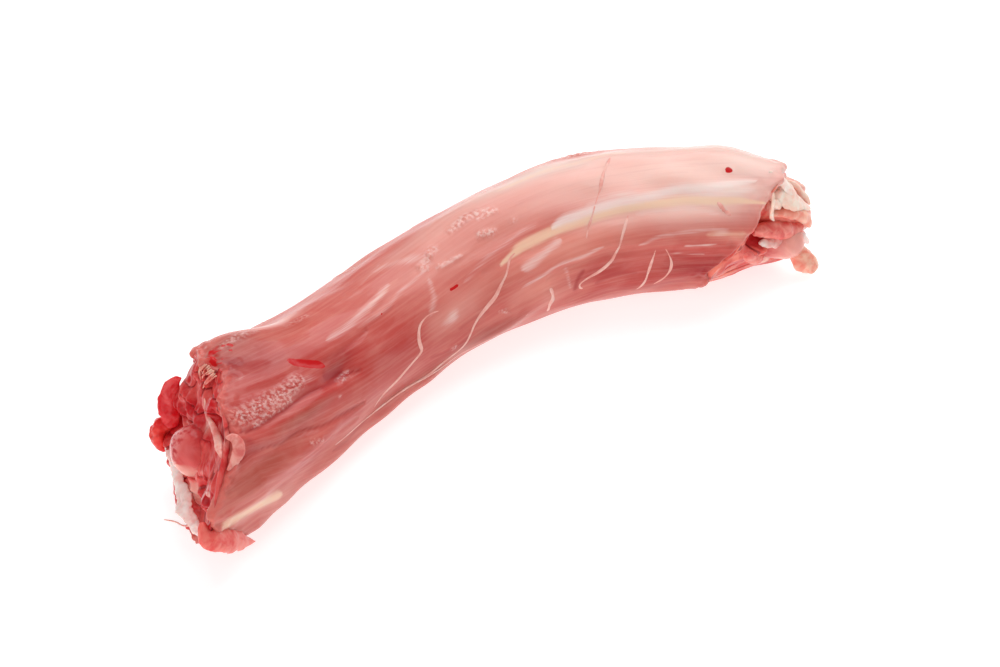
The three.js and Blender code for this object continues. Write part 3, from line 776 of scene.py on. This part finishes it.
# ---- The deep muscles at the head end ----
# The short muscles next to the bone stand out of the sleeve where the head was cut off. They are soft
# translucent lumps with pale fat on top, on the cut's plane as at the base.
HEAD_LUMPS = [  # as the base's
    (-3, -4.5, 11, 14.5), (2, 5, 3.4, 1.6), (8, -3, 3, 3.5), (3.5, -9.5, 3, 2.6),
    (-2.5, -10.5, 3.8, 6), (-8, -5, 3.4, 2), (-10, 1, 4, 1.5), (6, 2.5, 2.2, -2),
]
HEAD_HOLE = (1, -5)


def head_rough(inside, up, flat):
    """Round muscle lumps with valleys between them, and finer nodules."""
    pale = spots([
        (-10, 6, 7, 1.0), (-4, 11, 6, 1.0), (-6, 4, 7, 1.0), (0, 7, 6, 1.0), (3, 6, 4.5, 1.0),
        (-4, -4, 6, 0.8), (-12, 1, 8, 1.0), (3, 11, 5, 1.0), (4, -8, 3, 0.6), (-2, -9, 5, 0.7),
    ], inside, up)
    # The valleys, which the paint also darkens as painted shade, less under the pale spots.
    web = valleys(flat, 7, 51, 0.26) * (1 - 0.8 * pale)
    height = 0.5 * rumple(flat, 5, 54) + 0.08 * rumple(flat, 1.8, 55) - 0.6 * web
    gore = spots([(7, 0, 5, 0.9), (9, -5, 5, 0.8), (0, -11, 5, 0.7)], inside, up)
    return height, {"valley_shade": web, "gore": gore, "pale": pale}


head_flesh = closed_mesh("head_deep_muscles", [cut_flesh(HEAD_CUT, HEAD_LUMPS, HEAD_HOLE, head_rough)])
stump_paint = torn_paint(tint(216, 76, 68), tint(240, 128, 108), tint(255, 222, 208))
stump_meat = wet_material("stump_meat", stump_paint)
set_down("head_deep_muscles", head_flesh, stump_meat, "raw_meat", "neck_meat")

# ---- The neck bones ----
# The vertebrae are one bent column through the meat. At each cut a joint end shows, round and smooth with
# wet cartilage, and mottled red where its skin was torn.
SPINE_RADIUS = 4.0
SPINE_DROP = {"start": 0.78, "end": 0.94, "inside": 1, "down": 5}  # where and how far it leaves the middle
MOUTH_DEPTH = 12.0  # it swells to its joint ends over this length
BASE_MOUTH, HEAD_MOUTH = 5.0, -4.0  # how far inside each cut the joint end takes over
BASE_KNUCKLE = (4.9, -0.3)  # radius, and how far outside the cut its middle lies
HEAD_KNUCKLE = (3.5, 9.0)
SPINE_ROWS, SPINE_SIDES, KNUCKLE_ROWS = 90, 72, 40


def spine_radius(t):
    """The column's radius, eased to the knuckles' radii over the mouths at the cuts."""
    at_base = 1 - ease((t - BASE_CUT["at"]) * NECK_LENGTH / MOUTH_DEPTH)
    at_head = 1 - ease((HEAD_CUT["at"] - t) * NECK_LENGTH / MOUTH_DEPTH)
    base_swell = (BASE_KNUCKLE[0] - SPINE_RADIUS) * at_base
    return SPINE_RADIUS + base_swell + (HEAD_KNUCKLE[0] - SPINE_RADIUS) * at_head


def spine_ring(t, radius, angle):
    """Round sections of the column, which leaves the neck's middle at the head end."""
    share = ease((t - SPINE_DROP["start"]) / (SPINE_DROP["end"] - SPINE_DROP["start"]))
    turn = np.radians(angle)
    inside = share * SPINE_DROP["inside"] + radius * np.sin(turn)
    up = -share * SPINE_DROP["down"] + radius * np.cos(turn)
    return point_at(t, inside, up)


def knuckle(cut, radius, out):
    """t and radius of a ball's sections, from its widest to its tip."""
    rise = np.linspace(0, math.pi / 2, KNUCKLE_ROWS)[:-1]
    t = cut["at"] + cut["outward"] * (out + radius * np.sin(rise)) / NECK_LENGTH
    return t, radius * np.cos(rise)


bone_angle = np.linspace(-180, 180, SPINE_SIDES, endpoint=False)
base_knuckle_t, base_knuckle_radius = knuckle(BASE_CUT, *BASE_KNUCKLE)
head_knuckle_t, head_knuckle_radius = knuckle(HEAD_CUT, *HEAD_KNUCKLE)
column_from = BASE_CUT["at"] + BASE_MOUTH / NECK_LENGTH
column_to = HEAD_CUT["at"] - HEAD_MOUTH / NECK_LENGTH
column_t = np.linspace(column_from, column_to, SPINE_ROWS)
bone_t = np.concatenate([base_knuckle_t[::-1], column_t, head_knuckle_t])
bone_radius = np.concatenate([base_knuckle_radius[::-1], spine_radius(column_t), head_knuckle_radius])
bone_rings = spine_ring(bone_t[:, None], bone_radius[:, None], bone_angle)
knobs = np.concatenate([np.ones(KNUCKLE_ROWS - 1), np.zeros(SPINE_ROWS), np.ones(KNUCKLE_ROWS - 1)])[:, None]
bone_rings = bone_rings + (0.12 * rumple(bone_rings, 4, 61) * knobs)[..., None] * [1, 0.5, 0.5]
low_side = knobs * ease((np.abs(bone_angle) - 80) / 60)
bruise = knobs * ease((-bone_angle + 20) / 60) * ease((bone_angle + 130) / 50)
low_side[1 - KNUCKLE_ROWS:] = 1  # the small joint end at the head is pale all round
bruise[1 - KNUCKLE_ROWS:] *= 0.3


def bone_paint(wire):
    """Smooth pink cartilage, paler low down, with a mottled bruise on the side away from the bend."""
    clouds = wire.spread(0.004, 3, 0.8)
    specks = wire.spread(0.0011, 2)
    colour = wire.mix(clouds.rise(0.3, 0.7), tint(206, 58, 62), tint(222, 98, 94))
    colour = wire.mix(wire.layer("low_side") * (0.5 + clouds * 0.6), colour, tint(250, 186, 172))
    colour = wire.mix(wire.layer("bruise") * specks.rise(0.4, 0.6) * 0.7, colour, tint(240, 166, 162))
    colour = wire.mix(wire.layer("bruise") * (1 - specks).rise(0.5, 0.7) * 0.7, colour, tint(176, 26, 40))
    return colour, 0.2 + 0.15 * clouds, 0.04 * specks


bone_mesh = closed_mesh("neck_bones", [(bone_rings, {"low_side": low_side, "bruise": bruise})])
set_down("neck_bones", bone_mesh, wet_material("wet_cartilage", bone_paint), "raw_bone", "neck_spine")

# ---- Strips and tags at the cuts ----
# Bits that stayed on at the knife's edge: torn flesh and film, fat, clotted blood, tendons and the ends of
# small muscles. Each is an oval section carried along a rounded path, thin where it is a film.
STRIP_SIDES = 40
STRIP_CAP = 8  # the higher, the blunter a strip's ends
STRIP_GRAIN = 3.0  # size of its bumps
STRIP_SEED = 71
COMB_FROM, COMB_TO, COMB_FIBRES = -44, 5, 46  # angles of the first and last fibre, and how many
COMB_ROOT = 0.8  # the fibres start this far under the side and behind the lip


def sides_of(middle, facing):
    """Unit directions along a path: across it, and out of its flat side, which faces about that way."""
    along = np.gradient(middle, axis=0)
    across = np.cross(along, facing)
    across /= np.linalg.norm(across, axis=1, keepdims=True)
    outward = np.cross(across, along)
    return across, outward / np.linalg.norm(outward, axis=1, keepdims=True)


def strip_rings(cut, path, facing, ragged, seed):
    """A strip's rings. Its path has offset inside and up, distance out of the cut, half width and half
    thickness, all rounded together; its flat side faces a direction inside, up and out."""
    inside, up, out, wide, thick = rounded(path, 4).T
    middle = point_at(cut_at(cut, inside, up) + cut["outward"] * out / NECK_LENGTH, inside, up)
    turn = heading(cut["at"])
    axis = cut["outward"] * np.array([np.cos(turn), np.sin(turn), 0])
    flat = np.array([[np.sin(turn), -np.cos(turn), 0], [0, 0, 1], axis]).T @ np.array(facing, float)
    across, outward = sides_of(middle, flat)
    share = np.linspace(-1, 1, len(middle))
    cap = np.sqrt(np.maximum(0.02, 1 - np.abs(share) ** STRIP_CAP))
    around = np.linspace(0, 2 * math.pi, STRIP_SIDES, endpoint=False)
    section = np.cos(around)[:, None] * (wide * cap)[:, None, None] * across[:, None]
    section = section + np.sin(around)[:, None] * (thick * cap)[:, None, None] * outward[:, None]
    rings = middle[:, None] + section
    bumps = ragged * rumple(rings, STRIP_GRAIN, seed)
    grit = 0.4 * ragged * rumple(rings, STRIP_GRAIN / 3, seed + 1)
    rings = middle[:, None] + section * (1 + bumps + grit)[..., None]
    rings += (0.5 * ragged * rumple(rings, 2 * STRIP_GRAIN, seed + 2))[..., None] * flat
    rings[..., 2] = np.maximum(rings[..., 2], 0)
    return rings


def plain_paint(dark, light, marks, speckle):
    """Paint for one kind of flesh: two tones in clouds, with specks of a third."""

    def paint(wire):
        clouds = wire.spread(0.003, 4, 0.6)
        specks = wire.spread(0.0011, 2)
        colour = wire.mix(clouds.rise(0.35, 0.65), tint(*dark), tint(*light))
        colour = wire.mix(specks.rise(0.52, 0.72) * speckle, colour, tint(*marks))
        return colour, 0.25 + 0.2 * clouds, 0.05 * specks + 0.06 * clouds

    return paint


# The upper rim of the base was torn: short fibres lie over the red lumps there like the teeth of a comb,
# furthest out of the cut at -12 degrees and sunk past -30.
comb_draw = np.random.default_rng(81)
comb_paths = []


def on_lumps(inside, up, above):
    """A point of the base's face, that far above its lumps."""
    return inside, up, float(lumpiness(BASE_LUMPS, inside, up)) + above


for comb_angle in np.linspace(COMB_FROM, COMB_TO, COMB_FIBRES):
    lip_out = 2.0 * hump((comb_angle + 12) / 22) - ease((-30 - comb_angle) / 10)
    turn = math.radians(comb_angle + comb_draw.uniform(-2, 2))
    reach = comb_draw.uniform(0.8, 3.8)
    lift_out = comb_draw.uniform(-0.4, 0.5)
    thick = comb_draw.uniform(0.08, 0.2)
    lean = turn + comb_draw.uniform(-0.3, 0.9)
    rim_in, rim_up = surface_offset(BASE_CUT["at"], math.degrees(turn), -COMB_ROOT)
    end_in, end_up = rim_in - reach * math.sin(lean), rim_up - reach * math.cos(lean)
    comb_paths.append([
        (*on_lumps(rim_in, rim_up, lip_out - COMB_ROOT), thick, thick),
        (*on_lumps((rim_in + end_in) / 2, (rim_up + end_up) / 2, lip_out + lift_out), thick, 0.8 * thick),
        (*on_lumps(end_in, end_up, 0.5 * lip_out + lift_out - 0.4), 0.1, 0.1),
    ])

# Cut, direction that the flat side faces, raggedness, colours with the share of specks, and strips' paths.
STRIPS = {
    "rim_fibres": (BASE_CUT, (0.3, 0.6, 0.7), 0.1, (
        (230, 112, 102), (255, 202, 180), (196, 30, 38), 0.5,
    ), comb_paths),
    "bloody_tag": (BASE_CUT, (0.5, 0.3, 0.8), 0.07, (
        (220, 24, 34), (238, 92, 92), (190, 4, 18), 0.4,
    ), [
        [(-10.8, -2.6, 2.2, 1.3, 0.9), (-11.7, -0.6, 3.9, 1.9, 1.1), (-12.5, 2.0, 4.6, 2.1, 1.1),
         (-12.8, 4.4, 4.6, 1.7, 0.9), (-12.0, 6.5, 3.9, 0.9, 0.5), (-10.8, 7.5, 3.3, 0.15, 0.15)],
    ]),
    "blood_clot": (BASE_CUT, (0.5, 0.4, 0.8), 0.08, (
        (224, 22, 24), (236, 70, 62), (184, 2, 10), 0.4,
    ), [
        [(-11.6, -0.8, 2.8, 1.2, 1.0), (-13.0, -3.0, 4.5, 1.9, 1.6), (-13.2, -5.0, 5.0, 2.1, 1.8),
         (-12.2, -6.8, 3.8, 1.3, 1.1), (-11.2, -7.6, 2.8, 0.5, 0.5)],
    ]),
    "base_flap": (BASE_CUT, (0.85, 0.5, 0.1), 0.05, (
        (236, 84, 78), (246, 132, 120), (222, 54, 56), 0.2,
    ), [
        [(15.4, 1.2, 2.6, 0.8, 0.7), (17.0, -0.8, 1.6, 1.7, 1.0), (17.6, -2.6, -1.6, 2.3, 1.1),
         (17.6, -4.6, -5.2, 2.3, 1.1), (17.2, -7.0, -8.8, 1.9, 0.9), (16.8, -9.0, -11.6, 1.1, 0.6),
         (16.6, -10.4, -13.8, 0.4, 0.3), (16.5, -11.0, -14.8, 0.1, 0.1)],
    ]),
    "base_membrane": (BASE_CUT, (0.25, 0.5, 0.8), 0.16, (
        (250, 204, 196), (255, 232, 226), (228, 112, 110), 0.3,
    ), [
        [(-10.8, -5.4, 3.2, 0.5, 0.4), (-7.7, -6.7, 2.4, 0.7, 0.4), (-4.0, -8.0, 1.3, 1.1, 0.4),
         (0.1, -8.6, 0.6, 1.7, 0.4), (2.4, -9.4, 0.0, 1.8, 0.4), (4.6, -11.2, -1.6, 1.1, 0.4),
         (6.6, -12.4, -3.4, 0.5, 0.35)],
    ]),
    "base_tendons": (BASE_CUT, (0.5, 0.5, 0.6), 0.05, (
        (232, 124, 116), (248, 190, 176), (220, 80, 82), 0.3,
    ), [
        [(0.8, 11.4, 1.3, 0.15, 0.15), (2.9, 9.3, 0.5, 0.45, 0.3), (6.4, 9.9, 0.1, 0.5, 0.3),
         (9.2, 10.0, -0.3, 0.75, 0.35), (11.9, 10.2, 0.0, 0.7, 0.35), (13.6, 10.0, 0.0, 0.2, 0.2)],
        [(11.4, 2.4, 0.2, 0.25, 0.25), (12.8, 3.2, 1.0, 0.65, 0.5), (14.2, 4.0, 0.4, 0.3, 0.3)],
        [(14.8, 2.2, 0.2, 0.3, 0.3), (15.4, 2.4, 0.9, 0.5, 0.45), (16.0, 2.8, 0.3, 0.25, 0.25)],
        [(3.4, -12.4, -1.8, 0.22, 0.2), (0.5, -14.4, -0.8, 0.16, 0.14), (-2, -15.3, 0.0, 0.15, 0.13),
         (-4.2, -15.45, 2.6, 0.1, 0.1)],
    ]),
    "base_fold": (BASE_CUT, (0.75, 0.62, 0.25), 0.06, (
        (222, 112, 106), (244, 170, 158), (208, 76, 76), 0.3,
    ), [
        [(12.3, 12.0, -1.0, 0.3, 0.25), (12.9, 11.6, -2.8, 0.9, 0.35), (13.8, 10.7, -4.2, 1.15, 0.4),
         (14.7, 9.5, -4.4, 1.15, 0.4), (15.2, 8.7, -3.4, 0.9, 0.35), (15.3, 8.2, -1.8, 0.3, 0.25)],
    ]),
    "head_muscles": (HEAD_CUT, (0.6, 0.4, 0.7), 0.06, (
        (232, 104, 96), (246, 150, 136), (212, 58, 60), 0.3,
    ), [
        [(8.0, 2.2, 2.0, 1.0, 0.8), (5.6, 1.2, 5.4, 1.9, 1.4), (2.4, -1.2, 9.8, 2.2, 1.6),
         (-0.8, -3.0, 13.2, 1.3, 1.1)],
        [(9.6, -1.4, 2.6, 0.9, 0.8), (8.6, -3.0, 4.6, 1.6, 1.3), (6.8, -5.0, 6.8, 1.5, 1.3),
         (4.6, -6.6, 9.0, 0.8, 0.8)],
    ]),
    "head_lobe": (HEAD_CUT, (0.6, 0.6, 0.5), 0.06, (
        (242, 142, 122), (254, 196, 172), (236, 110, 94), 0.25,
    ), [
        [(5.4, 4.8, 3.2, 0.6, 0.5), (3.2, 3.8, 6.0, 1.2, 0.9), (0.4, 1.6, 10.2, 1.4, 1.0),
         (-1.2, -1.0, 13.0, 1.2, 1.0), (-2.2, -3.4, 14.8, 0.6, 0.5)],
        [(0.4, -6.8, 13.8, 1.5, 1.4), (0.4, -9.2, 17.5, 2.3, 2.0), (0.3, -11.0, 20.4, 2.4, 2.1),
         (0.2, -12.4, 22.4, 1.4, 1.2)],
    ]),
    "head_fat": (HEAD_CUT, (0.6, 0.5, 0.6), 0.07, (
        (254, 202, 182), (255, 228, 212), (250, 172, 148), 0.25,
    ), [
        [(8.0, 11.8, 0.0, 0.2, 0.2), (9.0, 10.2, 1.2, 0.45, 0.35), (8.2, 7.6, 2.4, 0.6, 0.45),
         (6.6, 4.8, 3.9, 0.55, 0.45), (5.2, 3.0, 5.2, 0.2, 0.2)],
        [(8.0, 9.8, 1.0, 0.2, 0.2), (6.4, 8.2, 2.4, 0.9, 0.5), (4.8, 6.4, 4.0, 1.0, 0.5),
         (4.0, 5.2, 4.6, 0.3, 0.3)],
        [(-1.4, 8.2, 2.6, 0.3, 0.3), (-3.0, 6.4, 4.9, 0.7, 0.6), (-3.4, 4.4, 7.3, 0.8, 0.7),
         (-3.6, 2.6, 9.6, 0.7, 0.6), (-3.6, 1.2, 11.4, 0.3, 0.3)],
        [(6.5, 9.4, 0.4, 0.6, 0.4), (3.8, 8.0, 2.8, 1.7, 0.7), (2.2, 6.0, 5.4, 1.8, 0.7),
         (0.8, 3.9, 8.2, 1.3, 0.6), (-0.4, 2.4, 10.0, 0.4, 0.3)],
    ]),
    "head_films": (HEAD_CUT, (0.5, 0.7, 0.5), 0.06, (
        (254, 206, 190), (255, 234, 222), (246, 168, 152), 0.3,
    ), [
        [(3.5, 13.9, -3.4, 0.5, 0.3), (4.2, 12.6, -0.6, 1.1, 0.4), (1.6, 9.4, 2.4, 1.3, 0.4),
         (0.6, 6.2, 5.8, 1.3, 0.4), (-0.8, 2.9, 9.4, 1.1, 0.4), (-2.6, 0.8, 12.0, 0.4, 0.3)],
    ]),
    "head_nodules": (HEAD_CUT, (0.6, 0.6, 0.5), 0.12, (
        (246, 176, 166), (255, 220, 212), (228, 120, 116), 0.3,
    ), [
        [(8.0, -0.6, 5.2, 0.4, 0.35), (7.0, -1.3, 6.5, 1.1, 0.6), (5.9, -2.0, 7.8, 0.8, 0.45),
         (4.4, -2.6, 9.2, 1.4, 0.7), (3.0, -3.4, 10.6, 1.3, 0.6), (1.8, -3.8, 11.8, 0.4, 0.3)],
        [(1.6, -4.0, 12.0, 0.4, 0.35), (0.2, -4.4, 13.5, 1.1, 0.7), (-1.4, -5.4, 15.0, 1.2, 0.7),
         (-3.0, -7.4, 16.8, 0.8, 0.5), (-3.8, -8.6, 17.6, 0.3, 0.3)],
    ]),
}
for strip_name, (cut, facing, ragged, colours, paths) in STRIPS.items():
    skins = [(strip_rings(cut, path, facing, ragged, STRIP_SEED + 3 * n), {}) for n, path in enumerate(paths)]
    material = wet_material(strip_name, plain_paint(*colours), deep=0.0008, shine=0.06)
    set_down(strip_name, closed_mesh(strip_name, skins), material, "raw_meat", "neck_meat")

# ---- Nerves and tendons on the side ----
# Thin pale strands that cross the muscles just under the membrane, and one short loose tendon. Each is a
# flattened cord along points given by t and angle, half sunk in the side.
STRAND_SIDES = 12
STRAND_SUNK = 0.35  # share of its half width that a strand is sunk
STRANDS = [  # half width, and the points
    (0.48, [(0.57, 46), (0.555, 48), (0.545, 53), (0.532, 60), (0.515, 66), (0.503, 72), (0.48, 77),
            (0.46, 82), (0.445, 90), (0.43, 100), (0.4, 108), (0.35, 111), (0.3, 109)]),
    (0.50, [(0.41, 58), (0.385, 52), (0.36, 54), (0.347, 61), (0.343, 70), (0.346, 77), (0.33, 81), (0.3, 87),
            (0.27, 94), (0.245, 101), (0.235, 108)]),
    (0.42, [(0.775, -10), (0.765, -2), (0.755, 5), (0.745, 14), (0.735, 24), (0.722, 33)]),
    (0.30, [(0.722, 33), (0.71, 42), (0.7, 49), (0.69, 57)]),
    (0.60, [(0.61, 86), (0.617, 96), (0.614, 106), (0.617, 118)]),
    (0.44, [(0.775, 44), (0.768, 50), (0.757, 58), (0.745, 69), (0.733, 78), (0.712, 86), (0.685, 90),
            (0.669, 94), (0.672, 99), (0.68, 101)]),
    (0.36, [(0.812, 76), (0.806, 86), (0.8, 100), (0.793, 112), (0.78, 120)]),
    (0.34, [(0.83, 76), (0.842, 88), (0.84, 98), (0.825, 108), (0.81, 114)]),
    (0.55, [(0.918, 41), (0.926, 46), (0.935, 51), (0.941, 53)]),
    (0.30, [(0.145, 104), (0.19, 105), (0.24, 107), (0.31, 109), (0.38, 112), (0.45, 116), (0.55, 113)]),
    (0.38, [(0.7, -40), (0.66, -60), (0.64, -78), (0.6, -96)]),
    (0.34, [(0.4, -36), (0.37, -58), (0.33, -76), (0.34, -98)]),
    (0.34, [(0.86, -30), (0.84, -55), (0.85, -80)]),
]


def lift_at(t, angle):
    """The side's fine relief at t and angle, read from the sleeve's grid between its four nearest points."""
    column = (angle + 180) % 360 / 360 * SLEEVE_SIDES
    left = column.astype(int) % SLEEVE_SIDES
    start, end = base_lip_t[0][left], head_lip_t[0][left]
    row = np.clip((t - start) / (end - start) * (SLEEVE_ROWS - 1), 0, SLEEVE_ROWS - 2)
    low, across = row.astype(int), column % 1
    grid = lift[LIP_ROWS - 1 : LIP_ROWS - 1 + SLEEVE_ROWS]
    right = (left + 1) % SLEEVE_SIDES
    first = grid[low, left] * (1 - across) + grid[low, right] * across
    second = grid[low + 1, left] * (1 - across) + grid[low + 1, right] * across
    return first + (second - first) * (row % 1)


def strand_rings(points, half_width):
    """A flattened cord's rings along a line on the side: half as high as wide, thinner at its ends."""
    line = rounded(points, 4)
    t, angle = line[:, 0], line[:, 1]
    middle = point_at(t, *surface_offset(t, angle, lift_at(t, angle) - STRAND_SUNK * half_width))
    across, outward = sides_of(middle, middle - point_at(t, 0 * t, 0 * t))
    share = np.linspace(0, 1, len(line))
    tapered = 0.2 + 0.8 * np.sin(math.pi * share) ** 0.5
    size = half_width * tapered * (1 + 0.15 * np.sin(17 * share + half_width * 40))
    turn = np.linspace(0, 2 * math.pi, STRAND_SIDES, endpoint=False)
    wide = np.cos(turn)[:, None] * across[:, None]
    high = 0.55 * np.sin(turn)[:, None] * outward[:, None]
    return middle[:, None] + size[:, None, None] * (wide + high)


strand_mesh = closed_mesh("surface_strands", [(strand_rings(points, width), {}) for width, points in STRANDS])
strand_paint = plain_paint((240, 160, 148), (250, 194, 182), (230, 138, 128), 0.2)
strand_wet = wet_material("nerve_strands", strand_paint, see_through=0.2, deep=0.0006)
set_down("surface_strands", strand_mesh, strand_wet, "raw_meat")

# ---- Floor and light ----
# A white surface that glows a little, as on a light table, under a large soft light above the far side of
# the head end. A weaker light stands to the left, at the base, and the room is white.
FLOOR_HALF = 3.0
FLOOR_DROP = 0.0001  # keeps the floor off the neck's flat underside
FLOOR_GLOW = 0.7
ROOM_LIGHT = 0.32

floor_ways = ((-1, -1), (1, -1), (1, 1), (-1, 1))
floor_corners = [(x * FLOOR_HALF, y * FLOOR_HALF, -FLOOR_DROP) for x, y in floor_ways]
floor_mesh = bpy.data.meshes.new("floor")
floor_mesh.from_pydata(floor_corners, [], [(0, 1, 2, 3)])
floor_material = bpy.data.materials.new("floor")
floor_material.use_nodes = True
floor_shader = floor_material.node_tree.nodes["Principled BSDF"]
floor_shader.inputs["Base Color"].default_value = (0.6, 0.62, 0.62, 1)
floor_shader.inputs["Roughness"].default_value = 0.9
floor_shader.inputs["Specular IOR Level"].default_value = 0.1
floor_shader.inputs["Emission Color"].default_value = (1, 1, 1, 1)
floor_shader.inputs["Emission Strength"].default_value = FLOOR_GLOW
floor_mesh.materials.append(floor_material)
floor = bpy.data.objects.new("floor", floor_mesh)
bpy.context.scene.collection.objects.link(floor)

world = bpy.data.worlds.new("studio")
world.use_nodes = True
world.node_tree.nodes["Background"].inputs["Color"].default_value = (1, 1, 1, 1)
world.node_tree.nodes["Background"].inputs["Strength"].default_value = ROOM_LIGHT
bpy.context.scene.world = world


def soft_light(name, place, size, power):
    """A square light of that size in metres, turned to the neck."""
    data = bpy.data.lights.new(name, "AREA")
    data.size = size
    data.energy = power
    light = bpy.data.objects.new(name, data)
    light.location = place
    light.rotation_euler = (-Vector(place)).to_track_quat("-Z", "Y").to_euler()
    bpy.context.scene.collection.objects.link(light)


soft_light("overhead", (0.5, 0.3, 0.85), 1.0, 10)
soft_light("left", (-0.8, -0.35, 0.45), 0.8, 3)

bpy.context.scene.view_settings.view_transform = "Standard"
bpy.context.scene.view_settings.look = "None"
